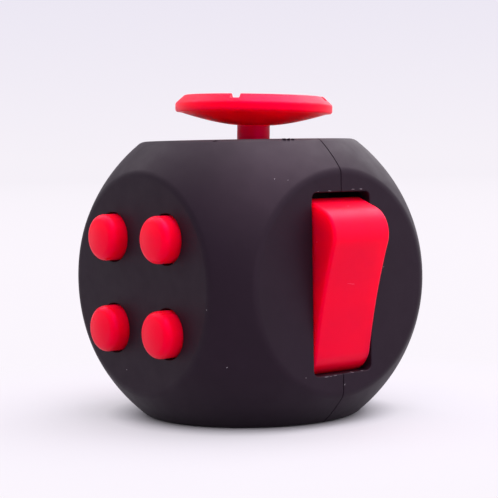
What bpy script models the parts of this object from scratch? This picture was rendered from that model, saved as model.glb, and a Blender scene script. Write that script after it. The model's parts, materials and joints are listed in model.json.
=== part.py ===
"""Fidget cube: a moulded ball with six round flats and a different thing to fiddle with on each flat.

The body is a pair of half shells that meet on the plane x = 0. Each flat carries its own cartridge: a gimballed
joystick on top, four snap buttons on the left, a rocker switch in front, three toothed wheels and a steel ball
on the right, a click-stop dial behind, and a hollow thumb rest underneath, on whose rim the ball stands.

Units are metres, +Z is up, and the origin is on the ground under the middle of the body. Every cartridge is
modelled in the frame of its flat: an empty at the body's centre, turned so that its own +Z points out of the
flat. Heights in a cartridge are therefore distances from the body's centre.
"""

import math

import bmesh
import bpy
from mathutils import Matrix, Vector

MM = 0.001

# Body
ACROSS_FLATS = 33.0 * MM
BALL_RADIUS = 20.9 * MM
RIM_ROUND = 1.5 * MM
INNER_RIM_ROUND = 0.6 * MM
WALL = 1.8 * MM

# Clearances
SEAM_GAP = 0.12 * MM  # between the half shells
SEAT_GAP = 0.3 * MM  # under a seated flange
RUNNING_GAP = 0.15 * MM  # round a pin in its bore
BUTTON_GAP = 0.2 * MM
DIAL_GAP = 0.3 * MM
ROCKER_GAP = 0.2 * MM
WHEEL_GAP = 0.4 * MM
BALL_GAP = 0.25 * MM

# How cuts and joined shapes meet what they work on
CUT_PAST = 1.0 * MM  # how far a cut starts outside it
JOIN_IN = 0.2 * MM  # how far a joined shape sinks into it

# Pegs that locate one half shell on the other
PEG_OFFSET_Y = 10.6 * MM
PEG_OFFSET_Z = 13.9 * MM
PEG_BOSS_RADIUS = 1.5 * MM
PEG_BOSS_LENGTH = 4.0 * MM
PEG_RADIUS = 0.7 * MM
PEG_LENGTH = 2.6 * MM

# Buttons
BUTTON_RADIUS = 2.71 * MM
BUTTON_PITCH_ACROSS = 10.34 * MM
BUTTON_PITCH_UP = 10.7 * MM
BUTTON_STANDOUT = 2.3 * MM
BUTTON_CROWN = 0.3 * MM
BUTTON_EDGE_ROUND = 1.1 * MM
BUTTON_FLANGE_RADIUS = 3.6 * MM
BUTTON_FLANGE = 0.8 * MM
BUTTON_TRAVEL = 0.9 * MM
PLUNGER_RADIUS = 1.2 * MM
PLUNGER_LENGTH = 0.6 * MM

# Snap domes and the plate that carries them
DOME_PRESSED = 0.6 * MM  # what is left of a dome's height under a button that is pressed home
DOME_FOOT_RADIUS = 3.0 * MM
DOME_TOP_RADIUS = 1.4 * MM
DOME_SKIN = 0.4 * MM
PLATE_THICKNESS = 1.2 * MM
PLATE_WIDTH = 16.8 * MM
PLATE_CORNER = 2.0 * MM
PLATE_BOSS_OFFSET = 9.6 * MM
PLATE_BOSS_RADIUS = 1.6 * MM
SCREW_RADIUS = 0.5 * MM
SCREW_LENGTH = 4.0 * MM
SCREW_HEAD_RADIUS = 1.1 * MM
SCREW_HEAD = 0.7 * MM

# Rocker
ROCKER_LENGTH = 19.6 * MM
ROCKER_WIDTH = 8.6 * MM
ROCKER_PIVOT_DEPTH = 5.0 * MM  # behind the flat
ROCKER_RISE = 6.9 * MM  # from the pivot to the key's ends
ROCKER_DISH = 0.3 * MM
ROCKER_FOOT = 0.8 * MM  # from the pivot up to the key's open edge
ROCKER_SKIRT = 0.45 * MM  # how far the open edge flares at each end
ROCKER_END_ROUND = 3.3 * MM
ROCKER_EDGE_ROUND = 0.4 * MM
ROCKER_TILT = math.radians(14.5)
ROCKER_WALL = 1.2 * MM
POCKET_LENGTH = 20.7 * MM
POCKET_CORNER = 0.7 * MM
ROCKER_PIN_RADIUS = 0.9 * MM
ROCKER_HUB_RADIUS = 1.9 * MM
ROCKER_NOSE_REACH = 2.5 * MM
ROCKER_NOSE_RADIUS = 0.6 * MM
ROCKER_NECK = 1.08 * MM
ROCKER_HOUSING_WALL = 0.9 * MM
ROCKER_HOUSING_ROUND = 1.2 * MM
ROCKER_FLOOR_DEPTH = 8.2 * MM  # behind the flat
ROCKER_FLOOR_RISE = 1.2 * MM  # the floor rises towards the ends
ROCKER_FLOOR_HALF = 6.5 * MM
DETENT_LEAF = 0.25 * MM
DETENT_WIDTH = 5.0 * MM
DETENT_LENGTH = 11.0 * MM
DETENT_BUMP = 0.35 * MM

# Joystick
JOYSTICK_OFFSET = (0.52 * MM, -0.43 * MM)
JOYSTICK_OPENING_RADIUS = 4.6 * MM
JOYSTICK_PIVOT_DEPTH = 7.0 * MM
JOYSTICK_TILT = math.radians(11)  # each way, about both axes
CAP_HEIGHT = 5.5 * MM  # above the flat
CAP_RADIUS = 9.5 * MM
CAP_TOP_RADIUS = 8.4 * MM
CAP_CHAMFER = 1.1 * MM
CAP_RING = 0.6 * MM  # the raised ring round the cap's dish
CAP_DISH = 0.6 * MM
CAP_RIM = 1.0 * MM
CAP_UNDERSIDE = 1.6 * MM  # from the rim down to the stem
CAP_UNDERSIDE_BEND = 1.5
STEM_RADIUS = 1.98 * MM
SPIGOT_RADIUS = 1.25 * MM
SPIGOT_HOLD = 1.0 * MM  # the hub's bore, above and below the hub's reach
NOTCH_WIDTH = 1.2 * MM
NOTCH_SILL = 0.1 * MM  # a notch's floor, above the dish
NOTCH_ANGLE = math.radians(35.4)
NOTCH_COUNT = 4
DUST_DOME_RADIUS = 6.7 * MM  # about the pivot
DUST_DOME_SKIN = 0.7 * MM
DUST_DOME_HALF_ANGLE = math.radians(62)
JOYSTICK_HUB_RADIUS = 2.2 * MM
JOYSTICK_HUB_REACH = 2.3 * MM
JOYSTICK_FOOT_RADIUS = 2.4 * MM
JOYSTICK_FOOT = 0.8 * MM
GIMBAL_INNER_RADIUS = 2.9 * MM
GIMBAL_OUTER_RADIUS = 4.3 * MM
GIMBAL_HEIGHT = 2.2 * MM
GIMBAL_PIN_RADIUS = 0.6 * MM
TRUNNION_RADIUS = 0.7 * MM
GIMBAL_POST = 1.0 * MM
GIMBAL_POST_WIDTH = 2.8 * MM
GIMBAL_POST_TOP = 1.2 * MM  # above the pivot
JOYSTICK_CUP_WALL = 0.6 * MM
JOYSTICK_CUP_ROOM = 0.4 * MM  # round what moves in the cup
JOYSTICK_CUP_HEIGHT = 12.2 * MM
JOYSTICK_CUP_FLOOR = 0.8 * MM
SPRING_RADIUS = 1.6 * MM
SPRING_WIRE = 0.4 * MM
SPRING_TURNS = 4
SPRING_POINTS_PER_TURN = 8

# Dial
DIAL_RADIUS = 8.6 * MM
DIAL_STANDOUT = 3.3 * MM
DIAL_EDGE_ROUND = 0.6 * MM
DIAL_DISH = 0.4 * MM
DIAL_DISH_RADIUS = 6.0 * MM
DIAL_RIM_RADIUS = 7.2 * MM
DIAL_DIMPLE_RADIUS = 2.0 * MM
DIAL_DIMPLE_OFFSET = 4.8 * MM
DIAL_DIMPLE_DEPTH = 0.8 * MM
DIAL_FLUTES = 18
DIAL_FLUTE_RADIUS = 0.6 * MM
DIAL_CLICKS = 12
DIAL_CLICK_RADIUS = 0.4 * MM
DIAL_CLICK_CIRCLE = 6.7 * MM
DIAL_CLICK_LENGTH = 1.8 * MM
DIAL_POST_RADIUS = 2.0 * MM
DIAL_POST_TIP_RADIUS = 1.8 * MM
DIAL_SNAP = 0.3 * MM
DIAL_ROOF = 1.9 * MM
DIAL_BASE_RADIUS = 10.0 * MM
DIAL_BASE_THICKNESS = 1.8 * MM
DIAL_SPRING_WIRE = 0.5 * MM
DIAL_SPRING_SWEEP = math.radians(120)
DIAL_SPRING_POINTS = 16
DIAL_SPRING_TIP = 0.3  # the share of the wire that rises to the notches

# Toothed wheels
WHEEL_COUNT = 3
WHEEL_TEETH = 12
WHEEL_RADIUS = 4.9 * MM
WHEEL_TOOTH = 0.6 * MM
WHEEL_FLANK = ((0.32, 0), (0.2, 0.85), (0.1, 1))  # shares of the pitch, and of the tooth's height
WHEEL_THICKNESS = 2.6 * MM
WHEEL_STANDOUT = 1.9 * MM
WHEEL_OFFSET_UP = 3.7 * MM
WHEEL_SLOT_GAP = 0.3 * MM
AXLE_RADIUS = 0.8 * MM
AXLE_SNAP = 1.36 * MM
CRADLE_WALL = 1.0 * MM
CRADLE_FLOOR = 0.8 * MM
CRADLE_ROOM = 0.5 * MM  # between the wheels and the cradle's floor
CLICK_LEAF = 0.25 * MM
CLICK_LEAF_SLOT = 0.4 * MM
CLICK_LEAF_BEND = 0.45 * MM
CLICK_LEAF_TOP = 2.0 * MM  # below the axle
CLICK_LEAN = math.radians(225)  # where the leaf's tip meets the teeth

# Steel ball
STEEL_BALL_RADIUS = 3.3 * MM
STEEL_BALL_STANDOUT = 1.3 * MM
STEEL_BALL_OFFSET_DOWN = 6.9 * MM
BALL_CUP_WALL = 0.75 * MM
BALL_CUP_FLOOR = 0.8 * MM

# Thumb rest
REST_RADIUS = 7.7 * MM
REST_RECESS = 0.3 * MM
REST_RIM = 0.6 * MM
REST_DEPTH = 2.3 * MM
REST_SKIN = 1.0 * MM
REST_FOOT_RADIUS = 6.2 * MM
REST_FLANGE_RADIUS = 8.8 * MM
REST_FLANGE = 0.8 * MM

# Worked out from the above
FACE = ACROSS_FLATS / 2  # the flats' distance from the body's centre
INSIDE = FACE - WALL
SEAT = INSIDE - SEAT_GAP  # the outer side of every seated flange
REACH = 2 * BALL_RADIUS  # longer than anything that a through cut goes through
POCKET_WIDTH = ROCKER_WIDTH + 2 * ROCKER_GAP
DOME_HEIGHT = DOME_PRESSED + BUTTON_TRAVEL - SEAT_GAP
TRUNNION_REACH = GIMBAL_OUTER_RADIUS + SEAT_GAP + GIMBAL_POST
CORNER_TILT = math.sqrt(2) * JOYSTICK_TILT  # with both axes at their limits

# Facets
ROUND = 20
FINE_ROUND = 36
SMALL_ROUND = 12
NOTCH_ROUND = 6
STEEL_BALL_SEGMENTS = 18
STEEL_BALL_RINGS = 10
RIM_STEPS = 3
BALL_POINT_MARGIN = 0.8  # between the rims and the ball's own points, as a share of the rim points' spacing
SMOOTH_ANGLE = math.radians(35)

# Colours (linear RGB)
CHARCOAL = (0.026, 0.018, 0.024, 1)
RED = (0.80, 0.004, 0.03, 1)
BLACK = (0.012, 0.012, 0.013, 1)
NATURAL = (0.55, 0.53, 0.48, 1)
GREY = (0.18, 0.18, 0.19, 1)
STEEL = (0.6, 0.6, 0.62, 1)

# How each flat's frame is turned, in degrees
FLATS = {
    "front": (90, 0, 0),
    "right": (90, 0, 90),
    "back": (90, 0, 180),
    "left": (90, 0, -90),
    "top": (0, 0, 0),
    "bottom": (180, 0, 0),
}


def clear_scene():
    for obj in list(bpy.data.objects):
        bpy.data.objects.remove(obj, do_unlink=True)


def new_collection(name):
    collection = bpy.data.collections.new(name)
    bpy.context.scene.collection.children.link(collection)
    return collection


def plastic(name, colour, roughness=0.5, metallic=0.0):
    material = bpy.data.materials.new(name)
    material.use_nodes = True
    shader = material.node_tree.nodes["Principled BSDF"]
    shader.inputs["Base Color"].default_value = colour
    shader.inputs["Roughness"].default_value = roughness
    shader.inputs["Metallic"].default_value = metallic
    return material


def frame_empty(name, parent=None, at=(0, 0, 0), degrees=(0, 0, 0)):
    """An empty that a cartridge or a moving piece hangs on."""
    empty = bpy.data.objects.new(name, None)
    empty.empty_display_size = 5 * MM
    empty.parent = parent
    empty.location = at
    empty.rotation_euler = [math.radians(angle) for angle in degrees]
    PARTS.objects.link(empty)
    return empty


# Shapes. Each returns an unplaced object, in its own frame.


def new_object(name, data):
    obj = bpy.data.objects.new(name, data)
    bpy.context.scene.collection.objects.link(obj)
    return obj


def object_from(name, bm):
    bmesh.ops.recalc_face_normals(bm, faces=bm.faces)
    mesh = bpy.data.meshes.new(name)
    bm.to_mesh(mesh)
    bm.free()
    return new_object(name, mesh)


def cylinder(name, radius, low, high, sides=ROUND, centres=((0, 0),)):
    """Upright cylinders from the height low to high, at each of the centres."""
    bm = bmesh.new()
    for x, y in centres:
        bmesh.ops.create_cone(
            bm,
            cap_ends=True,
            segments=sides,
            radius1=radius,
            radius2=radius,
            depth=high - low,
            matrix=Matrix.Translation((x, y, (low + high) / 2)),
        )
    return object_from(name, bm)


def sphere(name, radius):
    bm = bmesh.new()
    bmesh.ops.create_uvsphere(
        bm, u_segments=STEEL_BALL_SEGMENTS, v_segments=STEEL_BALL_RINGS, radius=radius
    )
    return object_from(name, bm)


def spokes(name, radius, circle, length, count):
    """Short round bars that lie like a wheel's spokes, with their middles on a circle."""
    bm = bmesh.new()
    for n in range(count):
        turn = Matrix.Rotation(math.tau * n / count, 4, "Z") @ Matrix.Rotation(math.radians(90), 4, "Y")
        matrix = turn @ Matrix.Translation((0, 0, circle))
        bmesh.ops.create_cone(
            bm, cap_ends=True, segments=NOTCH_ROUND, radius1=radius, radius2=radius, depth=length, matrix=matrix
        )
    return object_from(name, bm)


def box(name, low, high, corner=0.0, corner_steps=3):
    """A box between two corners, with its upright edges rounded by corner."""
    size = [b - a for a, b in zip(low, high)]
    middle = [(a + b) / 2 for a, b in zip(low, high)]
    bm = bmesh.new()
    bmesh.ops.create_cube(bm, size=1, matrix=Matrix.Translation(middle) @ Matrix.Diagonal((*size, 1)))
    if corner:
        upright = [e for e in bm.edges if abs((e.verts[0].co - e.verts[1].co).z) > size[2] / 2]
        bmesh.ops.bevel(
            bm, geom=upright, offset=corner, segments=corner_steps, profile=0.5, affect="EDGES"
        )
    return object_from(name, bm)


def turned(name, profile, closed=False, sides=ROUND):
    """A turned shape: (radius, height) pairs that run down its outer side, round the Z axis."""
    mesh = bpy.data.meshes.new(name)
    edges = [(n, n + 1) for n in range(len(profile) - 1)]
    if closed:
        edges.append((len(profile) - 1, 0))
    mesh.from_pydata([(radius, 0, height) for radius, height in profile], edges, [])
    obj = new_object(name, mesh)
    screw = obj.modifiers.new("turned", "SCREW")
    screw.steps = sides
    screw.render_steps = sides
    screw.use_merge_vertices = True
    screw.merge_threshold = 0.001 * MM
    return obj


def arc(centre, radius, start, end, steps):
    """Points of a circle from the angle start to end, in degrees, both ends included."""
    x, y = centre
    angles = [math.radians(start + (end - start) * n / steps) for n in range(steps + 1)]
    return [(x + radius * math.cos(a), y + radius * math.sin(a)) for a in angles]


def circle(radius, sides):
    angles = [math.tau * n / sides for n in range(sides)]
    return [(radius * math.cos(a), radius * math.sin(a)) for a in angles]


def extruded(name, outline, thickness, holes=()):
    """A flat outline, as a filled curve, made a mesh so that it can be cut and rounded."""
    curve = bpy.data.curves.new(name, "CURVE")
    curve.dimensions = "2D"
    curve.fill_mode = "BOTH"
    curve.extrude = thickness / 2
    for loop in (outline, *holes):
        spline = curve.splines.new("POLY")
        spline.points.add(len(loop) - 1)
        for point, (x, y) in zip(spline.points, loop):
            point.co = (x, y, 0, 1)
        spline.use_cyclic_u = True
    return mesh_of(new_object(name, curve))


def wire(name, points, thickness):
    """A round wire through the points, with filled ends."""
    curve = bpy.data.curves.new(name, "CURVE")
    curve.dimensions = "3D"
    curve.bevel_depth = thickness / 2
    curve.bevel_resolution = 1
    curve.use_fill_caps = True
    spline = curve.splines.new("POLY")
    spline.points.add(len(points) - 1)
    for point, (x, y, z) in zip(spline.points, points):
        point.co = (x, y, z, 1)
    return mesh_of(new_object(name, curve))


def mesh_of(curve_object):
    """The curve's object as a welded mesh object."""
    name = curve_object.name
    bpy.context.view_layer.update()
    shape = curve_object.evaluated_get(bpy.context.evaluated_depsgraph_get())
    bm = bmesh.new()
    bm.from_mesh(bpy.data.meshes.new_from_object(shape))
    bpy.data.objects.remove(curve_object, do_unlink=True)
    bmesh.ops.remove_doubles(bm, verts=bm.verts, dist=0.001 * MM)
    return object_from(name, bm)


def strip_outline(points, thickness):
    """The outline of a bent strip whose middle line runs through the points."""
    left, right = [], []
    for n, point in enumerate(points):
        before = Vector(points[max(n - 1, 0)])
        after = Vector(points[min(n + 1, len(points) - 1)])
        along = (after - before).normalized()
        side = Vector((-along.y, along.x)) * thickness / 2
        left.append(tuple(Vector(point) + side))
        right.append(tuple(Vector(point) - side))
    return left + right[::-1]


def rounded_body(name, half, radius, rim_round, ring_points, arc_steps):
    """The ball with six flats: the hull of the flats' rounded rims and of the ball between them."""
    rim_angle = math.acos((half - rim_round) / (radius - rim_round))
    rim_centre = (radius - rim_round) * math.sin(rim_angle)
    ring_spacing = math.tau / ring_points * math.sin(rim_angle)

    points = []
    for degrees in FLATS.values():
        turn = flat_turn(degrees)
        for step in range(arc_steps + 1):
            angle = rim_angle * step / arc_steps
            across = rim_centre + rim_round * math.sin(angle)
            height = half - rim_round + rim_round * math.cos(angle)
            for x, y in circle(across, ring_points):
                points.append(turn @ Vector((x, y, height)))

    grid = bmesh.new()
    bmesh.ops.create_cube(grid, size=2)
    bmesh.ops.subdivide_edges(grid, edges=grid.edges, cuts=ring_points // 4, use_grid_fill=True)
    nearest = radius * math.cos(rim_angle + ring_spacing * BALL_POINT_MARGIN)
    for vert in grid.verts:
        on_ball = vert.co.normalized() * radius
        if max(abs(c) for c in on_ball) < nearest:
            points.append(on_ball)
    grid.free()

    bm = bmesh.new()
    for point in points:
        bm.verts.new(point)
    hull = bmesh.ops.convex_hull(bm, input=bm.verts)
    spare = [e for e in hull["geom_interior"] + hull["geom_unused"] if isinstance(e, bmesh.types.BMVert)]
    bmesh.ops.delete(bm, geom=list(dict.fromkeys(spare)), context="VERTS")
    bmesh.ops.dissolve_limit(bm, angle_limit=math.radians(0.2), verts=bm.verts, edges=bm.edges)
    return object_from(name, bm)


def flat_turn(degrees):
    x, y, z = (math.radians(angle) for angle in degrees)
    return Matrix.Rotation(z, 3, "Z") @ Matrix.Rotation(y, 3, "Y") @ Matrix.Rotation(x, 3, "X")


# Placing and joining


def place(obj, collection, parent, at, turn):
    for owner in list(obj.users_collection):
        owner.objects.unlink(obj)
    collection.objects.link(obj)
    obj.parent = parent
    obj.location = at
    obj.rotation_euler = turn
    return obj


def part(obj, material, parent, at=(0, 0, 0), turn=(0, 0, 0)):
    obj.data.materials.append(material)
    return place(obj, PARTS, parent, at, turn)


def tool(obj, parent, at=(0, 0, 0), turn=(0, 0, 0)):
    """A shape that only cuts or joins another."""
    obj.hide_render = True
    obj.display_type = "WIRE"
    return place(obj, CUTTERS, parent, at, turn)


def combine(target, operation, *tools):
    for other in tools:
        modifier = target.modifiers.new(other.name, "BOOLEAN")
        modifier.operation = operation
        modifier.solver = "EXACT"
        modifier.object = other


def cut(target, *tools):
    combine(target, "DIFFERENCE", *tools)


def join(target, *tools):
    combine(target, "UNION", *tools)


def soften(obj, width, segments=2):
    bevel = obj.modifiers.new("soft edges", "BEVEL")
    bevel.width = width
    bevel.segments = segments
    bevel.limit_method = "ANGLE"
    bevel.angle_limit = math.radians(40)


# The cartridges


def button_places():
    across = BUTTON_PITCH_ACROSS / 2
    up = BUTTON_PITCH_UP / 2
    return {
        "upper_front": (across, up),
        "upper_rear": (-across, up),
        "lower_front": (across, -up),
        "lower_rear": (-across, -up),
    }


def dome_top():
    """Height of the snap domes' tops: just under the buttons' plungers."""
    return SEAT - BUTTON_FLANGE - PLUNGER_LENGTH - SEAT_GAP


def plate_top():
    return dome_top() - DOME_HEIGHT - SEAT_GAP


def build_buttons(flat, red, silicone):
    top = FACE + BUTTON_STANDOUT
    edge = top - BUTTON_CROWN
    crown_start = BUTTON_RADIUS - BUTTON_EDGE_ROUND
    rounding = arc((crown_start, edge - BUTTON_EDGE_ROUND), BUTTON_EDGE_ROUND, 90, 0, 3)
    foot = SEAT - BUTTON_FLANGE
    profile = [(0, top), *rounding]
    profile += [(BUTTON_RADIUS, SEAT), (BUTTON_FLANGE_RADIUS, SEAT), (BUTTON_FLANGE_RADIUS, foot)]
    profile += [(PLUNGER_RADIUS, foot), (PLUNGER_RADIUS, foot - PLUNGER_LENGTH), (0, foot - PLUNGER_LENGTH)]

    shoulder = DOME_TOP_RADIUS + (DOME_HEIGHT - DOME_SKIN)
    dome = [(0, DOME_HEIGHT), (DOME_TOP_RADIUS, DOME_HEIGHT), (shoulder, DOME_SKIN), (DOME_FOOT_RADIUS, DOME_SKIN)]
    dome += [(DOME_FOOT_RADIUS, 0), (shoulder - DOME_SKIN, 0)]
    dome += [(DOME_TOP_RADIUS - DOME_SKIN / 2, DOME_HEIGHT - DOME_SKIN), (0, DOME_HEIGHT - DOME_SKIN)]

    for where, (x, y) in button_places().items():
        part(turned(f"button_{where}", profile), red, flat, (x, y, 0))
        foot_height = plate_top() + SEAT_GAP
        part(turned(f"button_dome_{where}", dome, sides=SMALL_ROUND), silicone, flat, (x, y, foot_height))


def plate_screw_places():
    return {"upper": (0, PLATE_BOSS_OFFSET), "lower": (0, -PLATE_BOSS_OFFSET)}


def build_button_plate(flat, grey, steel):
    top = plate_top()
    bottom = top - PLATE_THICKNESS
    half_up = PLATE_BOSS_OFFSET + PLATE_BOSS_RADIUS
    corner = (PLATE_WIDTH / 2, half_up)
    plate = box("button_plate", (-corner[0], -corner[1], bottom), (*corner, top), PLATE_CORNER)
    part(plate, grey, flat)
    centres = plate_screw_places().values()
    hole = SCREW_RADIUS + RUNNING_GAP
    cut(plate, tool(cylinder("plate_holes", hole, bottom - CUT_PAST, top + CUT_PAST, SMALL_ROUND, centres), flat))

    head = bottom - SEAT_GAP
    screw = [(0, head + SCREW_LENGTH), (SCREW_RADIUS, head + SCREW_LENGTH), (SCREW_RADIUS, head)]
    screw += [(SCREW_HEAD_RADIUS, head), (SCREW_HEAD_RADIUS, head - SCREW_HEAD), (0, head - SCREW_HEAD)]
    for where, (x, y) in plate_screw_places().items():
        part(turned(f"button_plate_screw_{where}", screw, sides=SMALL_ROUND), steel, flat, (x, y, 0))


def rocker_outline():
    """The key seen from its side, pivot at the origin: dished face, round ends, open edge behind."""
    half = ROCKER_LENGTH / 2
    bend = half - ROCKER_END_ROUND
    centre = ROCKER_RISE - ROCKER_END_ROUND
    face = []
    for n in range(1, 8):
        along = 1 - n / 4
        face.append((bend * along, ROCKER_RISE - ROCKER_DISH * (1 - along**2)))
    right_end = arc((bend, centre), ROCKER_END_ROUND, 0, 90, 6)
    left_end = arc((-bend, centre), ROCKER_END_ROUND, 90, 180, 6)
    foot = half + ROCKER_SKIRT
    return [(foot, ROCKER_FOOT), *right_end, *face, *left_end, (-foot, ROCKER_FOOT)]


def build_rocker(flat, red, black, steel):
    # The key is drawn as a side view, so that its own +Z runs across the flat.
    pivot_height = FACE - ROCKER_PIVOT_DEPTH
    pivot = frame_empty("rocker_pivot", flat, (0, 0, pivot_height))
    pivot.rotation_euler = (ROCKER_TILT, 0, 0)
    side_view = (math.radians(90), 0, math.radians(90))
    key = part(extruded("rocker", rocker_outline(), ROCKER_WIDTH), red, pivot, turn=side_view)
    soften(key, ROCKER_EDGE_ROUND, 2)

    room = ROCKER_WIDTH / 2 - ROCKER_WALL
    roof = ROCKER_RISE - ROCKER_DISH - ROCKER_WALL
    end = ROCKER_LENGTH / 2 - ROCKER_WALL
    for side in (1, -1):
        low, high = sorted((side * (ROCKER_HUB_RADIUS - JOIN_IN), side * end))
        hollow = box(f"rocker_hollow_{side}", (-room, low, -CUT_PAST), (room, high, roof))
        cut(key, tool(hollow, pivot))
    across = (0, math.radians(90), 0)
    hub = cylinder("rocker_hub", ROCKER_HUB_RADIUS, -room - JOIN_IN, room + JOIN_IN)
    nose_low = ROCKER_NOSE_RADIUS - ROCKER_NOSE_REACH
    nose = cylinder("rocker_nose", ROCKER_NOSE_RADIUS, -DETENT_WIDTH / 2, DETENT_WIDTH / 2, SMALL_ROUND)
    half_neck = ROCKER_NECK / 2
    neck = box("rocker_neck", (-DETENT_WIDTH / 2, -half_neck, nose_low), (DETENT_WIDTH / 2, half_neck, 0))
    join(key, tool(hub, pivot, turn=across), tool(neck, pivot), tool(nose, pivot, (0, 0, nose_low), across))
    bore = cylinder("rocker_bore", ROCKER_PIN_RADIUS + RUNNING_GAP, -POCKET_WIDTH, POCKET_WIDTH)
    cut(key, tool(bore, pivot, turn=across))

    build_rocker_housing(flat, pivot_height, side_view, across, black, steel)


def build_rocker_housing(flat, pivot_height, side_view, across, black, steel):
    # The housing's room ends where the key's round ends would sweep to.
    round_centre = (ROCKER_LENGTH / 2 - ROCKER_END_ROUND, ROCKER_RISE - ROCKER_END_ROUND)
    inner = math.hypot(*round_centre) + ROCKER_END_ROUND
    outer = inner + ROCKER_HOUSING_WALL
    floor = FACE - ROCKER_FLOOR_DEPTH
    end_floor = floor + ROCKER_FLOOR_RISE
    half = POCKET_WIDTH / 2 + SEAT_GAP
    wall = ROCKER_HOUSING_WALL

    def boat(reach, low, end_low, high):
        right = [(reach, high), (reach, end_low), (ROCKER_FLOOR_HALF, low)]
        return right + [(-y, z) for y, z in right[::-1]]

    outside = boat(outer, floor - wall, end_floor - wall, SEAT)
    housing = part(extruded("rocker_housing", outside[::-1], 2 * (half + wall)), black, flat, turn=side_view)
    soften(housing, ROCKER_HOUSING_ROUND, 2)
    room = extruded("rocker_room", boat(inner, floor, end_floor, SEAT + CUT_PAST)[::-1], 2 * half)
    cut(housing, tool(room, flat, turn=side_view))

    pin_reach = half + wall
    hole_reach = pin_reach + CUT_PAST
    hole = cylinder("rocker_pin_hole", ROCKER_PIN_RADIUS + RUNNING_GAP, -hole_reach, hole_reach)
    cut(housing, tool(hole, flat, (0, 0, pivot_height), across))
    pin = cylinder("rocker_pin", ROCKER_PIN_RADIUS, -pin_reach, pin_reach)
    part(pin, steel, flat, (0, 0, pivot_height), across)

    # A bent leaf on the floor: the nose rests in the dip on one side of its bump or the other.
    low = floor + SEAT_GAP + DETENT_LEAF / 2
    dip = ROCKER_NOSE_RADIUS + DETENT_BUMP
    half_leaf = [(0, low + DETENT_BUMP), (dip, low), (DETENT_LENGTH / 2, low)]
    middle_line = [(-y, z) for y, z in half_leaf[:0:-1]] + half_leaf
    leaf = extruded("rocker_detent_spring", strip_outline(middle_line, DETENT_LEAF), DETENT_WIDTH)
    part(leaf, steel, flat, turn=side_view)


def build_joystick(flat, red, black, natural, steel):
    pivot_height = FACE - JOYSTICK_PIVOT_DEPTH
    seat = frame_empty("joystick_seat", flat, (*JOYSTICK_OFFSET, 0))
    pivot = frame_empty("joystick_pivot", seat, (0, 0, pivot_height))

    # Heights of the stick are counted from its pivot.
    cap_top = JOYSTICK_PIVOT_DEPTH + CAP_HEIGHT
    rim_top = cap_top - CAP_CHAMFER
    rim_bottom = rim_top - CAP_RIM
    stem_top = rim_bottom - CAP_UNDERSIDE
    stem_foot = DUST_DOME_RADIUS + SEAT_GAP
    hub_top = JOYSTICK_HUB_REACH + SPIGOT_HOLD
    dish = cap_top - CAP_DISH
    ring_inside = CAP_TOP_RADIUS - CAP_RING
    profile = [(0, dish), (ring_inside - CAP_DISH, dish), (ring_inside, cap_top), (CAP_TOP_RADIUS, cap_top)]
    profile += [(CAP_RADIUS, rim_top), (CAP_RADIUS, rim_bottom)]
    for share in (0.8, 0.5, 0.2):
        across = STEM_RADIUS + (CAP_RADIUS - STEM_RADIUS) * share
        profile.append((across, stem_top + CAP_UNDERSIDE * share**CAP_UNDERSIDE_BEND))
    profile += [(STEM_RADIUS, stem_top), (STEM_RADIUS, stem_foot), (SPIGOT_RADIUS, stem_foot)]
    spigot_foot = JOYSTICK_HUB_REACH - SPIGOT_HOLD
    profile += [(SPIGOT_RADIUS, spigot_foot), (0, spigot_foot)]
    cap = part(turned("joystick", profile, sides=FINE_ROUND), red, pivot)
    for n in range(NOTCH_COUNT):
        angle = NOTCH_ANGLE + math.tau * n / NOTCH_COUNT
        low = (ring_inside - CAP_DISH, -NOTCH_WIDTH / 2, dish + NOTCH_SILL)
        high = (CAP_RADIUS + CUT_PAST, NOTCH_WIDTH / 2, cap_top + CUT_PAST)
        cut(cap, tool(box(f"joystick_notch_{n}", low, high), pivot, turn=(0, 0, angle)))

    # Dust dome: part of a ball about the pivot, so that it only turns under the opening's rim.
    inner = DUST_DOME_RADIUS - DUST_DOME_SKIN
    spread = math.degrees(DUST_DOME_HALF_ANGLE)
    hole = SPIGOT_RADIUS + RUNNING_GAP
    start = math.degrees(math.asin(hole / DUST_DOME_RADIUS))
    start_inner = math.degrees(math.asin(hole / inner))
    outside = arc((0, 0), DUST_DOME_RADIUS, 90 - start, 90 - spread, 4)
    inside = arc((0, 0), inner, 90 - spread, 90 - start_inner, 4)
    part(turned("joystick_dome", outside + inside, closed=True), black, pivot)

    foot_top = -JOYSTICK_HUB_REACH
    foot = foot_top - JOYSTICK_FOOT
    hub_profile = [(hole, hub_top), (JOYSTICK_HUB_RADIUS, hub_top), (JOYSTICK_HUB_RADIUS, foot_top)]
    hub_profile += [(JOYSTICK_FOOT_RADIUS, foot_top), (JOYSTICK_FOOT_RADIUS, foot), (0, foot)]
    hub_profile += [(0, spigot_foot - SEAT_GAP), (hole, spigot_foot - SEAT_GAP)]
    hub = part(turned("joystick_hub", hub_profile, closed=True), natural, pivot)
    along = (math.radians(90), 0, 0)
    pin_bore = cylinder("hub_bore", GIMBAL_PIN_RADIUS + RUNNING_GAP, -CAP_RADIUS, CAP_RADIUS, SMALL_ROUND)
    cut(hub, tool(pin_bore, pivot, turn=along))

    build_gimbal(pivot, along, natural, steel)
    build_joystick_housing(seat, pivot, pivot_height + foot, pivot_height, black, steel)


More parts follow.
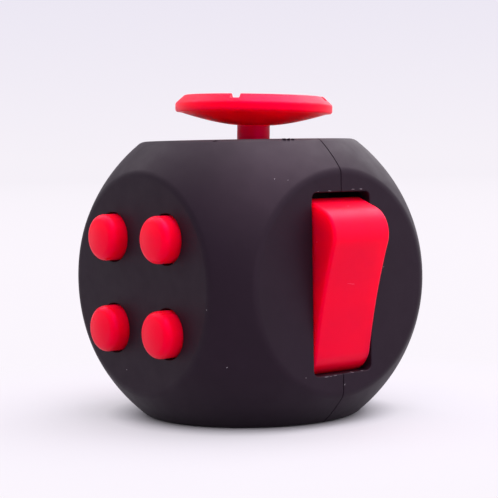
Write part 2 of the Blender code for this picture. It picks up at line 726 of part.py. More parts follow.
def build_gimbal(pivot, along, natural, steel):
    """The ring tilts on its trunnions about X, and the hub tilts in the ring on a pin along Y."""
    half = GIMBAL_HEIGHT / 2
    profile = [(GIMBAL_INNER_RADIUS, half), (GIMBAL_OUTER_RADIUS, half)]
    profile += [(GIMBAL_OUTER_RADIUS, -half), (GIMBAL_INNER_RADIUS, -half)]
    ring = part(turned("gimbal_ring", profile, closed=True), natural, pivot)
    across = (0, math.radians(90), 0)
    trunnions = cylinder("trunnions", TRUNNION_RADIUS, -TRUNNION_REACH, TRUNNION_REACH, SMALL_ROUND)
    join(ring, tool(trunnions, pivot, turn=across))
    clear = cylinder("ring_middle", GIMBAL_INNER_RADIUS, -GIMBAL_HEIGHT, GIMBAL_HEIGHT)
    cut(ring, tool(clear, pivot))
    bore = cylinder("ring_bore", GIMBAL_PIN_RADIUS + RUNNING_GAP, -CAP_RADIUS, CAP_RADIUS, SMALL_ROUND)
    cut(ring, tool(bore, pivot, turn=along))
    pin_reach = GIMBAL_OUTER_RADIUS - RUNNING_GAP
    pin = cylinder("gimbal_pin", GIMBAL_PIN_RADIUS, -pin_reach, pin_reach, SMALL_ROUND)
    part(pin, steel, pivot, turn=along)


def build_joystick_housing(seat, pivot, foot_height, pivot_height, black, steel):
    """A stepped cup behind the opening, with two posts for the gimbal and a spring on its floor."""
    wall = JOYSTICK_CUP_WALL
    wide = DUST_DOME_RADIUS + JOYSTICK_CUP_ROOM
    narrow = TRUNNION_REACH + JOYSTICK_CUP_ROOM
    dome_edge = (DUST_DOME_RADIUS - DUST_DOME_SKIN) * math.cos(DUST_DOME_HALF_ANGLE + CORNER_TILT)
    ledge = pivot_height + dome_edge - SEAT_GAP
    bottom = SEAT - JOYSTICK_CUP_HEIGHT
    floor = bottom + JOYSTICK_CUP_FLOOR
    profile = [(wide + wall, SEAT), (wide + wall, ledge - wall), (narrow + wall, ledge - wall)]
    profile += [(narrow + wall, bottom), (0, bottom), (0, floor), (narrow, floor)]
    profile += [(narrow, ledge), (wide, ledge), (wide, SEAT)]
    housing = part(turned("joystick_housing", profile, closed=True), black, seat)
    top = pivot_height + GIMBAL_POST_TOP
    for side in (1, -1):
        x = sorted((side * (TRUNNION_REACH - GIMBAL_POST), side * TRUNNION_REACH))
        low = (x[0], -GIMBAL_POST_WIDTH / 2, floor - JOIN_IN)
        post = box(f"gimbal_post_{side}", low, (x[1], GIMBAL_POST_WIDTH / 2, top))
        join(housing, tool(post, seat))
    reach = TRUNNION_REACH + RUNNING_GAP
    hole = cylinder("trunnion_hole", TRUNNION_RADIUS + RUNNING_GAP, -reach, reach, SMALL_ROUND)
    cut(housing, tool(hole, pivot, turn=(0, math.radians(90), 0)))

    low = floor + SEAT_GAP + SPRING_WIRE / 2
    high = foot_height - SEAT_GAP - SPRING_WIRE / 2
    count = SPRING_TURNS * SPRING_POINTS_PER_TURN
    coil = []
    for n in range(count + 1):
        angle = math.tau * n / SPRING_POINTS_PER_TURN
        height = low + (high - low) * n / count
        coil.append((SPRING_RADIUS * math.cos(angle), SPRING_RADIUS * math.sin(angle), height))
    part(wire("joystick_spring", coil, SPRING_WIRE), steel, seat)


def build_dial(flat, red, black, steel):
    top = FACE + DIAL_STANDOUT
    bottom = INSIDE
    bore = DIAL_POST_RADIUS + RUNNING_GAP
    snap = bore + DIAL_SNAP
    roof = top - DIAL_ROOF
    post_top = roof - SEAT_GAP
    neck = (bottom + roof) / 2
    round_start = DIAL_RADIUS - DIAL_EDGE_ROUND
    profile = [(0, top - DIAL_DISH), (DIAL_DISH_RADIUS, top - DIAL_DISH), (DIAL_RIM_RADIUS, top)]
    profile += arc((round_start, top - DIAL_EDGE_ROUND), DIAL_EDGE_ROUND, 90, 0, 2)
    profile += [(DIAL_RADIUS, bottom), (bore, bottom), (bore, neck), (snap, neck + DIAL_SNAP)]
    profile += [(snap, roof), (0, roof)]
    dial = part(turned("dial", profile, sides=2 * DIAL_FLUTES), red, flat)

    places = circle(DIAL_RADIUS + DIAL_FLUTE_RADIUS / 2, DIAL_FLUTES)
    low, high = FACE + DIAL_GAP, top + CUT_PAST
    flutes = cylinder("dial_flutes", DIAL_FLUTE_RADIUS, low, high, NOTCH_ROUND, places)
    cut(dial, tool(flutes, flat, turn=(0, 0, math.pi / DIAL_FLUTES)))

    ball = (DIAL_DIMPLE_RADIUS**2 + DIAL_DIMPLE_DEPTH**2) / (2 * DIAL_DIMPLE_DEPTH)
    floor = top - DIAL_DISH - DIAL_DIMPLE_DEPTH
    bowl = [(0, floor + 2 * ball), *arc((0, floor + ball), ball, 60, -60, 8), (0, floor)]
    cut(dial, tool(turned("dial_dimple", bowl), flat, (0, DIAL_DIMPLE_OFFSET, 0)))

    notches = spokes("dial_clicks", DIAL_CLICK_RADIUS, DIAL_CLICK_CIRCLE, DIAL_CLICK_LENGTH, DIAL_CLICKS)
    cut(dial, tool(notches, flat, (0, 0, bottom)))

    base_bottom = SEAT - DIAL_BASE_THICKNESS
    groove = DIAL_SPRING_WIRE + 2 * SEAT_GAP
    groove_floor = SEAT - groove
    half_groove = DIAL_SPRING_WIRE / 2 + SEAT_GAP
    outer, inner = DIAL_CLICK_CIRCLE + half_groove, DIAL_CLICK_CIRCLE - half_groove
    head = snap - RUNNING_GAP
    base_profile = [(0, post_top), (DIAL_POST_TIP_RADIUS, post_top), (head, neck + 2 * DIAL_SNAP)]
    base_profile += [(DIAL_POST_RADIUS, neck), (DIAL_POST_RADIUS, SEAT), (inner, SEAT), (inner, groove_floor)]
    base_profile += [(outer, groove_floor), (outer, SEAT), (DIAL_BASE_RADIUS, SEAT)]
    base_profile += [(DIAL_BASE_RADIUS, base_bottom), (0, base_bottom)]
    part(turned("dial_base", base_profile), black, flat)

    # A wire spring lies in the base's groove, and its tip rises into one of the dial's notches.
    lie = groove_floor + SEAT_GAP + DIAL_SPRING_WIRE / 2
    tip = bottom + DIAL_CLICK_RADIUS - RUNNING_GAP - DIAL_SPRING_WIRE / 2
    path = []
    for n in range(DIAL_SPRING_POINTS + 1):
        left = 1 - n / DIAL_SPRING_POINTS
        angle = math.radians(90) - DIAL_SPRING_SWEEP * left
        height = lie + (tip - lie) * max(0, 1 - left / DIAL_SPRING_TIP) ** 2
        path.append((DIAL_CLICK_CIRCLE * math.cos(angle), DIAL_CLICK_CIRCLE * math.sin(angle), height))
    part(wire("dial_click_spring", path, DIAL_SPRING_WIRE), steel, flat)


def wheel_outline():
    """Teeth with sloping flanks and flat tips, as many as WHEEL_TEETH."""
    root = WHEEL_RADIUS - WHEEL_TOOTH
    rising = [(-along, root + WHEEL_TOOTH * up) for along, up in WHEEL_FLANK]
    falling = [(-along, radius) for along, radius in rising[::-1]]
    points = []
    for n in range(WHEEL_TEETH):
        for along, radius in rising + falling:
            angle = (n + along) * math.tau / WHEEL_TEETH
            points.append((radius * math.cos(angle), radius * math.sin(angle)))
    return points


def wheel_height():
    return FACE + WHEEL_STANDOUT - WHEEL_RADIUS


def wheels_half_width():
    """From the middle wheel's middle to the outer face of the last."""
    return (WHEEL_COUNT * WHEEL_THICKNESS + (WHEEL_COUNT - 1) * WHEEL_GAP) / 2


def build_wheels(flat, red, black, steel):
    height = wheel_height()
    across = (math.radians(90), 0, math.radians(90))
    bore = circle(AXLE_RADIUS + RUNNING_GAP, ROUND)
    pitch = WHEEL_THICKNESS + WHEEL_GAP
    for n, where in enumerate(("front", "middle", "rear")):
        wheel = extruded(f"roller_wheel_{where}", wheel_outline(), WHEEL_THICKNESS, holes=(bore,))
        x = (n - (WHEEL_COUNT - 1) / 2) * pitch
        part(wheel, red, flat, (x, WHEEL_OFFSET_UP, height), across)

    room = wheels_half_width() + WHEEL_SLOT_GAP
    inner_y = slot_half_height()
    outer_x, outer_y = room + CRADLE_WALL, inner_y + CRADLE_WALL
    floor = height - WHEEL_RADIUS - CRADLE_ROOM
    middle = WHEEL_OFFSET_UP
    cradle = box(
        "roller_cradle",
        (-outer_x, middle - outer_y, floor - CRADLE_FLOOR),
        (outer_x, middle + outer_y, SEAT),
        PLATE_CORNER / 2,
    )
    part(cradle, black, flat)
    hollow = box("cradle_room", (-room, middle - inner_y, floor), (room, middle + inner_y, SEAT + CUT_PAST))
    cut(cradle, tool(hollow, flat))
    reach = outer_x - RUNNING_GAP
    sideways = (0, math.radians(90), 0)
    past = outer_x + CUT_PAST
    hole = cylinder("axle_hole", AXLE_RADIUS + RUNNING_GAP, -past, past)
    half_snap = AXLE_SNAP / 2
    low = (-past, middle - half_snap, height)
    slot = box("axle_snap_slot", low, (past, middle + half_snap, SEAT + CUT_PAST))
    cut(cradle, tool(hole, flat, (0, middle, height), sideways), tool(slot, flat))
    axle = cylinder("roller_axle", AXLE_RADIUS, -reach, reach)
    part(axle, steel, flat, (0, middle, height), sideways)
    build_click_spring(flat, room, inner_y, floor, height, across, steel)


def build_click_spring(flat, room, inner_y, floor, height, across, steel):
    """A bent leaf in the cradle's lower corner, slit into one finger for each wheel."""
    reach = WHEEL_RADIUS - WHEEL_TOOTH / 3
    tip = (reach * math.cos(CLICK_LEAN), reach * math.sin(CLICK_LEAN))
    wall = -inner_y + SEAT_GAP + CLICK_LEAF / 2
    ground = floor - height + SEAT_GAP + CLICK_LEAF / 2
    bend = CLICK_LEAF_BEND
    line = [(wall, -CLICK_LEAF_TOP), (wall, ground + bend), (wall + bend, ground)]
    line += [(wall + 2 * bend, ground + bend), tip]
    width = 2 * (room - SEAT_GAP)
    leaf = extruded("roller_click_spring", strip_outline(line, CLICK_LEAF), width)
    part(leaf, steel, flat, (0, WHEEL_OFFSET_UP, height), across)
    pitch = WHEEL_THICKNESS + WHEEL_GAP
    for n in range(WHEEL_COUNT - 1):
        x = (n + 1 - WHEEL_COUNT / 2) * pitch
        low = (x - CLICK_LEAF_SLOT / 2, wall + bend, ground - CUT_PAST)
        high = (x + CLICK_LEAF_SLOT / 2, CUT_PAST, 0)
        slit = box(f"click_slit_{n}", low, high)
        cut(leaf, tool(slit, flat, (0, WHEEL_OFFSET_UP, height)))


def slot_half_height():
    """The wheel slot's half height: the wheel's half chord at the wall's inner side, and a gap."""
    drop = wheel_height() - INSIDE
    return math.sqrt(WHEEL_RADIUS**2 - drop**2 * (drop < 0)) + WHEEL_SLOT_GAP


def steel_ball_height():
    return FACE + STEEL_BALL_STANDOUT - STEEL_BALL_RADIUS


def ball_seat(name, flat):
    """The round room that the steel ball turns in."""
    room = STEEL_BALL_RADIUS + BALL_GAP
    return tool(sphere(name, room), flat, (0, -STEEL_BALL_OFFSET_DOWN, steel_ball_height()))


def build_steel_ball(flat, black, steel):
    part(sphere("ball", STEEL_BALL_RADIUS), steel, flat, (0, -STEEL_BALL_OFFSET_DOWN, steel_ball_height()))
    outer = STEEL_BALL_RADIUS + BALL_GAP + BALL_CUP_WALL
    bottom = steel_ball_height() - STEEL_BALL_RADIUS - BALL_GAP - BALL_CUP_FLOOR
    cup = cylinder("ball_cup", outer, bottom, SEAT, centres=((0, -STEEL_BALL_OFFSET_DOWN),))
    part(cup, black, flat)
    cut(cup, ball_seat("ball_cup_room", flat))


def build_thumb_rest(flat, red):
    rim = FACE - REST_RECESS
    dish_radius = REST_RADIUS - REST_RIM
    ball = (dish_radius**2 + REST_DEPTH**2) / (2 * REST_DEPTH)
    half_angle = math.degrees(math.asin(dish_radius / ball))
    dish = arc((0, rim - REST_DEPTH + ball), ball, -90, -90 + half_angle, 5)
    low = SEAT - REST_FLANGE
    profile = [(0, dish[0][1]), *dish[1:], (REST_RADIUS, rim), (REST_RADIUS, SEAT)]
    profile += [(REST_FLANGE_RADIUS, SEAT), (REST_FLANGE_RADIUS, low), (REST_FOOT_RADIUS, low)]
    profile += [(0, rim - REST_DEPTH - REST_SKIN)]
    part(turned("thumb_rest", profile), red, flat)


# The body


def build_openings(flats):
    """The cuts that both half shells take, through the flats that the parting plane crosses."""
    half_width, half_length = POCKET_WIDTH / 2, POCKET_LENGTH / 2
    low = INSIDE - WALL
    pocket = box("pocket", (-half_width, -half_length, low), (half_width, half_length, REACH), POCKET_CORNER)
    opening = cylinder("joystick_opening", JOYSTICK_OPENING_RADIUS, low, REACH, centres=(JOYSTICK_OFFSET,))
    dial_hole = cylinder("dial_opening", DIAL_RADIUS + DIAL_GAP, low, REACH, FINE_ROUND)
    rest_hole = cylinder("rest_opening", REST_RADIUS + SEAT_GAP, low, REACH, FINE_ROUND)
    return [
        tool(pocket, flats["front"]),
        tool(opening, flats["top"]),
        tool(dial_hole, flats["back"]),
        tool(rest_hole, flats["bottom"]),
    ]


def peg_centres():
    return [(y, z) for y in (-PEG_OFFSET_Y, PEG_OFFSET_Y) for z in (-PEG_OFFSET_Z, PEG_OFFSET_Z)]


def along_x(name, body, radius, low, high, sides=SMALL_ROUND):
    """Round bars along X at the pegs' centres, from the plane x = low to x = high."""
    centres = [(-z, y) for y, z in peg_centres()]
    bars = cylinder(name, radius, low, high, sides, centres)
    return tool(bars, body, turn=(0, math.radians(90), 0))


def build_shell(name, side, body, flats, openings, charcoal):
    """One half of the body; side is 1 for the half at +X."""
    shell = part(rounded_body(name, FACE, BALL_RADIUS, RIM_ROUND, FINE_ROUND, RIM_STEPS), charcoal, body)
    cavity_round = (INSIDE, BALL_RADIUS - WALL, INNER_RIM_ROUND)
    cut(shell, tool(rounded_body(f"{name}_cavity", *cavity_round, ROUND, 1), body))
    inner_end = side * PEG_BOSS_LENGTH
    past_seam = -side * CUT_PAST
    join(shell, along_x(f"{name}_bosses", body, PEG_BOSS_RADIUS, *sorted((inner_end, past_seam))))
    if side < 0:
        boss_foot = plate_top() + SEAT_GAP
        centres = plate_screw_places().values()
        high = INSIDE + WALL / 2
        bosses = cylinder("plate_bosses", PLATE_BOSS_RADIUS, boss_foot, high, SMALL_ROUND, centres)
        join(shell, tool(bosses, flats["left"]))
        bore = SCREW_RADIUS + RUNNING_GAP
        holes = cylinder("plate_boss_holes", bore, boss_foot - CUT_PAST, INSIDE, SMALL_ROUND, centres)
        cut(shell, tool(holes, flats["left"]))
        hole = BUTTON_RADIUS + BUTTON_GAP
        places = button_places().values()
        cut(shell, tool(cylinder("button_holes", hole, INSIDE - WALL, REACH, ROUND, places), flats["left"]))
    else:
        room = wheels_half_width() + WHEEL_SLOT_GAP
        half = slot_half_height()
        low = (-room, WHEEL_OFFSET_UP - half, INSIDE - WALL)
        high = (room, WHEEL_OFFSET_UP + half, REACH)
        cut(shell, tool(box("wheel_slot", low, high, POCKET_CORNER / 2), flats["right"]))
        cut(shell, ball_seat("ball_opening", flats["right"]))
    cut(shell, *openings)

    # Everything past the parting plane goes, and then the pegs or their sockets come.
    seam = side * SEAM_GAP / 2
    x = sorted((seam, -side * REACH))
    other_side = box(f"{name}_other_side", (x[0], -REACH, -REACH), (x[1], REACH, REACH))
    cut(shell, tool(other_side, body))
    if side < 0:
        join(shell, along_x("pegs", body, PEG_RADIUS, -PEG_LENGTH, PEG_LENGTH))
    else:
        depth = PEG_LENGTH + SEAT_GAP
        cut(shell, along_x("sockets", body, PEG_RADIUS + RUNNING_GAP, -CUT_PAST, depth))
    return shell


def settle(collection):
    """Makes each part's modifiers its mesh, and shades it smooth between its sharp edges."""
    bpy.context.view_layer.update()
    graph = bpy.context.evaluated_depsgraph_get()
    meshes = {}
    for obj in collection.objects:
        if obj.type == "MESH":
            meshes[obj] = bpy.data.meshes.new_from_object(obj.evaluated_get(graph))
    for obj, mesh in meshes.items():
        obj.modifiers.clear()
        obj.data = mesh
        mesh.name = obj.name
        mesh.shade_smooth()
        mesh.set_sharp_from_angle(angle=SMOOTH_ANGLE)


clear_scene()
PARTS = new_collection("fidget_cube")
CUTTERS = new_collection("cutters")


def main():
    charcoal = plastic("soft_touch_charcoal", CHARCOAL, 0.62)
    red = plastic("red_plastic", RED, 0.42)
    black = plastic("black_plastic", BLACK, 0.5)
    silicone = plastic("silicone", NATURAL, 0.7)
    natural = plastic("natural_acetal", NATURAL, 0.4)
    grey = plastic("grey_plastic", GREY, 0.5)
    steel = plastic("steel", STEEL, 0.3, 1.0)

    body = frame_empty("body_centre", at=(0, 0, FACE))
    flats = {name: frame_empty(f"flat_{name}", body, degrees=turn) for name, turn in FLATS.items()}
    openings = build_openings(flats)
    build_shell("left_shell", -1, body, flats, openings, charcoal)
    build_shell("right_shell", 1, body, flats, openings, charcoal)
    build_buttons(flats["left"], red, silicone)
    build_button_plate(flats["left"], grey, steel)
    build_rocker(flats["front"], red, black, steel)
    build_joystick(flats["top"], red, black, natural, steel)
    build_dial(flats["back"], red, black, steel)
    build_wheels(flats["right"], red, black, steel)
    build_steel_ball(flats["right"], black, steel)
    build_thumb_rest(flats["bottom"], red)
    settle(PARTS)


main()
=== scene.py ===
"""Looks of the fidget cube: a ball with six round flats, in soft-touch aubergine black and satin red.

Every piece is modelled in millimetres, where the CAD model stands, and scaled to metres when it is done. A
piece of a flat is drawn in that flat's frame, whose origin is the body's centre and whose +Z points out of
the flat.
"""

import json
import math
import random

import bmesh
import bpy
from mathutils import Euler, Matrix, Vector


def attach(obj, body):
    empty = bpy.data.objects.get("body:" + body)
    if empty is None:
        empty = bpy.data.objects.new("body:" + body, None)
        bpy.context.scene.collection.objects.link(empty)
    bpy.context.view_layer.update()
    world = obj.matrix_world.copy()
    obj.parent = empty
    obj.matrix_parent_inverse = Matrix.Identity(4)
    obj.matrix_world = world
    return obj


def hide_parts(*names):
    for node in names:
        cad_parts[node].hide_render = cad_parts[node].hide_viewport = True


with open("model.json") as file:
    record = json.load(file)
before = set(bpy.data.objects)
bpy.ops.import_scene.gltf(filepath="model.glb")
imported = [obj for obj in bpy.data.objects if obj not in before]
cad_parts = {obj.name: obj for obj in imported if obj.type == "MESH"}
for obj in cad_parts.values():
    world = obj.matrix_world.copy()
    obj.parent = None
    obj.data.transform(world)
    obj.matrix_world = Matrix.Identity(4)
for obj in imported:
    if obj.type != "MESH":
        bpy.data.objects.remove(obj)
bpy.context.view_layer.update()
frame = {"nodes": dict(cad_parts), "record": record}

MM = 0.001
FACE = 16.5  # the flats' distance from the body's centre
BALL = 20.9  # the radius of the ball between the flats
WALL = 1.8
INSIDE = FACE - WALL
SEAT = INSIDE - 0.3  # where the flanges under the casing start
FLANGE = 0.8
OPENING_EDGE = 0.22  # the rounding where an opening meets its flat
CENTRE = Vector((0, 0, FACE))
FLATS = {
    "front": (90, 0, 0),
    "right": (90, 0, 90),
    "back": (90, 0, 180),
    "left": (90, 0, -90),
    "top": (0, 0, 0),
    "bottom": (180, 0, 0),
}
BUTTONS = {
    "upper_front": (5.17, 5.35),
    "upper_rear": (-5.17, 5.35),
    "lower_front": (5.17, -5.35),
    "lower_rear": (-5.17, -5.35),
}
BUTTON_RADIUS = 2.71
BUTTON_OPENING = 2.91
POCKET_WIDTH = 8.86
POCKET_LENGTH = 20.7
POCKET_CORNER = 0.7
ROCKER_PIVOT = FACE - 5.0
ROCKER_TILT = 14.5
JOYSTICK_OPENING = 4.6
JOYSTICK_OFFSET = (0.52, -0.43)
JOYSTICK_PIVOT = FACE - 7.0
JOYSTICK_LEAN = 1.8  # to the right of the photograph
DIAL_RADIUS = 8.6
DIAL_OPENING = 8.9
REST_OPENING = 8.0
WHEEL_RADIUS = 4.9
WHEEL_SPACING = 3.0
WHEEL_UP = 3.7
WHEEL_AXLE = FACE + 1.9 - WHEEL_RADIUS
WHEEL_SLOT_WIDTH = 9.2
STEEL_BALL = 3.3
STEEL_BALL_SEAT = 3.55
STEEL_BALL_PLACE = (0, -6.9, FACE + 1.3 - STEEL_BALL)

# The sides of what is round: the rims and the wide caps, turned pieces, bores and small cutters
POINTS_ON_RIM = 144
ROUND = 96
SMALL_ROUND = 48
TINY_ROUND = 24

# The photograph's camera, in degrees, millimetres and pixels of the photograph
VIEW_AZIMUTH = 39.59
VIEW_ELEVATION = 4.36
VIEW_ROLL = 0.91
VIEW_DISTANCE = 191.05
FOCAL = 1567.7
PICTURE_MIDDLE = 249
BODY_CENTRE_PIXEL = (249.92, 275.92)

LAMP_COLOUR = (1, 0.98, 1)
# Where each lamp is and how large it is, in metres, and its power
LAMPS = {
    "softbox_above": ((0.14, -0.06, 0.42), (0.45, 0.42), 3.0),
    "softbox_behind": ((-0.08, 0.25, 0.33), (0.35, 0.35), 0.6),
    "softbox_behind_right": ((0.34, 0.12, 0.22), (0.25, 0.25), 0.4),
    "softbox_high_front": ((-0.15, -0.21, 0.36), (0.3, 0.3), 0.8),
    "softbox_front": ((-0.03, -0.45, 0.04), (0.3, 0.3), 0.5),
    "softbox_right": ((0.35, -0.35, 0.2), (0.3, 0.3), 0.4),
}


# Shapes


def radians(degrees):
    return [math.radians(angle) for angle in degrees]


def rotation(degrees):
    return Euler(radians(degrees)).to_matrix()


def new_object(name, mesh):
    obj = bpy.data.objects.new(name, mesh)
    bpy.context.scene.collection.objects.link(obj)
    return obj


def object_from(name, bm):
    bmesh.ops.recalc_face_normals(bm, faces=bm.faces)
    mesh = bpy.data.meshes.new(name)
    bm.to_mesh(mesh)
    bm.free()
    return new_object(name, mesh)


def arc(centre, radius, start, end, steps):
    """Points of a circle from the angle start to end, in degrees, both ends included."""
    angles = radians([start + (end - start) * n / steps for n in range(steps + 1)])
    return [(centre[0] + radius * math.cos(a), centre[1] + radius * math.sin(a)) for a in angles]


def circle(radius, points):
    return arc((0, 0), radius, 0, 360 - 360 / points, points - 1)


def filleted(corners, steps=5):
    """The closed outline of (x, y) and (x, y, radius) corners, those with a radius rounded."""
    points = []
    for n, corner in enumerate(corners):
        here = Vector(corner[:2])
        radius = corner[2] if len(corner) > 2 else 0
        if not radius:
            points.append(tuple(here))
            continue
        before = (Vector(corners[n - 1][:2]) - here).normalized()
        after = (Vector(corners[(n + 1) % len(corners)][:2]) - here).normalized()
        half = before.angle(after) / 2
        centre = here + (before + after).normalized() * radius / math.sin(half)
        start = here + before * radius / math.tan(half) - centre
        end = here + after * radius / math.tan(half) - centre
        first = math.atan2(start.y, start.x)
        sweep = (math.atan2(end.y, end.x) - first + math.pi) % math.tau - math.pi
        for k in range(steps + 1):
            angle = first + sweep * k / steps
            points.append((centre.x + radius * math.cos(angle), centre.y + radius * math.sin(angle)))
    return points


def loft(name, loops):
    """A skin over loops of points, capped at both ends where they aren't single points."""
    bm = bmesh.new()
    rings = [[bm.verts.new(point) for point in loop] for loop in loops]
    for lower, upper in zip(rings, rings[1:]):
        for n in range(max(len(lower), len(upper))):
            corners = [lower[n % len(lower)], lower[(n + 1) % len(lower)]]
            corners += [upper[(n + 1) % len(upper)], upper[n % len(upper)]]
            bm.faces.new(dict.fromkeys(corners))
    for ring in (rings[0], rings[-1]):
        if len(ring) > 2:
            bm.faces.new(ring)
    return object_from(name, bm)


def lathe(name, profile, sides=ROUND):
    """A turned solid from (radius, height) pairs, the first and the last of them on the axis."""
    turn = [math.tau * n / sides for n in range(sides)]
    loops = []
    for radius, height in profile:
        if radius < 1e-6:
            loops.append([(0, 0, height)])
        else:
            loops.append([(radius * math.cos(a), radius * math.sin(a), height) for a in turn])
    return loft(name, loops)


def prism(name, outline, low, high):
    return loft(name, [[(x, y, low) for x, y in outline], [(x, y, high) for x, y in outline]])


def box(name, low, high):
    corners = [(low[0], low[1]), (high[0], low[1]), (high[0], high[1]), (low[0], high[1])]
    return prism(name, corners, low[2], high[2])


def cylinder(name, radius, low, high, sides):
    return lathe(name, [(0, low), (radius, low), (radius, high), (0, high)], sides)


def ball(name, radius):
    bm = bmesh.new()
    bmesh.ops.create_uvsphere(bm, u_segments=ROUND, v_segments=ROUND // 2, radius=radius)
    return object_from(name, bm)


def rounded_rectangle(width, length, corner):
    x, y = width / 2, length / 2
    return filleted([(x, y, corner), (-x, y, corner), (-x, -y, corner), (x, -y, corner)], steps=8)


def soft_mouth(name, outline_at, edge):
    """A cutter through a flat that leaves a rounded edge. outline_at gives its outline, grown by a length."""
    steps, start, end = 5, INSIDE - 1, FACE + 9
    layers = [(0, start), (0, FACE - edge)]
    for n in range(1, steps + 1):
        angle = math.radians(90) * n / steps
        layers.append((edge * (1 - math.cos(angle)), FACE - edge + edge * math.sin(angle)))
    layers.append((edge, end))
    return loft(name, [[(x, y, z) for x, y in outline_at(grow)] for grow, z in layers])


def round_mouth(name, radius, edge=OPENING_EDGE):
    return soft_mouth(name, lambda grow: circle(radius + grow, ROUND), edge)


def rectangular_mouth(name, width, length, corner, edge=OPENING_EDGE):
    def outline_at(grow):
        return rounded_rectangle(width + 2 * grow, length + 2 * grow, corner + grow)

    return soft_mouth(name, outline_at, edge)


# Placing and cutting


def placed(obj, flat=None, at=(0, 0, 0), turn=(0, 0, 0)):
    """Bakes the place of a shape: at and turn are in the flat's frame, or in the body's without a flat."""
    matrix = Matrix.Translation(at) @ rotation(turn).to_4x4()
    if flat:
        matrix = rotation(FLATS[flat]).to_4x4() @ matrix
    obj.data.transform(Matrix.Translation(CENTRE) @ matrix)
    return obj


def on_rocker(obj, turn=(0, 0, 0), at=(0, 0, 0)):
    """Bakes the place of a shape that is drawn about the rocker's pivot, untilted."""
    obj.data.transform(Matrix.Translation(at) @ rotation(turn).to_4x4())
    return placed(obj, "front", (0, 0, ROCKER_PIVOT), (ROCKER_TILT, 0, 0))


def on_joystick(obj):
    """Bakes the place of a shape that is drawn about the joystick's pivot."""
    return placed(obj, "top", (*JOYSTICK_OFFSET, JOYSTICK_PIVOT))


def leaning(obj, foot):
    """Leans what is above the height foot of a shape that is drawn about the joystick's pivot."""
    azimuth = math.radians(VIEW_AZIMUTH)
    sideways = Vector((math.cos(azimuth), -math.sin(azimuth), 0))
    lean = Matrix.Rotation(math.radians(JOYSTICK_LEAN), 3, Vector((0, 0, 1)).cross(sideways))
    stem_foot = Vector((0, 0, foot))
    for vert in obj.data.vertices:
        if vert.co.z > foot:
            vert.co = stem_foot + lean @ (vert.co - stem_foot)
    return obj


def applied(obj):
    """Makes the modifiers of a piece its mesh."""
    bpy.context.view_layer.update()
    shape = obj.evaluated_get(bpy.context.evaluated_depsgraph_get())
    mesh = bpy.data.meshes.new_from_object(shape)
    obj.modifiers.clear()
    obj.data = mesh
    return obj


def combined(obj, operation, *tools):
    """Joins the tools to a shape, cuts it with them or keeps what they share, and removes them."""
    for other in tools:
        modifier = obj.modifiers.new("combine", "BOOLEAN")
        modifier.operation = operation
        modifier.solver = "EXACT"
        modifier.object = other
        applied(obj)
        bpy.data.objects.remove(other, do_unlink=True)
    return obj


def softened(obj, width, segments):
    """Rounds the edges of a shape that turn by more than 50 degrees."""
    modifier = obj.modifiers.new("soften", "BEVEL")
    modifier.width = width
    modifier.segments = segments
    modifier.limit_method = "ANGLE"
    modifier.angle_limit = math.radians(50)
    modifier.use_clamp_overlap = False
    return applied(obj)


def done(obj, body, material, slot, *nodes, smooth=38):
    """Scales a piece to metres, shades it, and hangs it on its body in place of the CAD nodes."""
    mesh = obj.data
    mesh.name = obj.name
    mesh.transform(Matrix.Scale(MM, 4))
    mesh.materials.clear()
    mesh.materials.append(material)
    mesh.shade_smooth()
    mesh.set_sharp_from_angle(angle=math.radians(smooth))
    weighted = obj.modifiers.new("normals", "WEIGHTED_NORMAL")
    weighted.keep_sharp = True
    weighted.weight = 60
    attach(obj, body)
    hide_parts(*nodes)
    return obj


# Materials


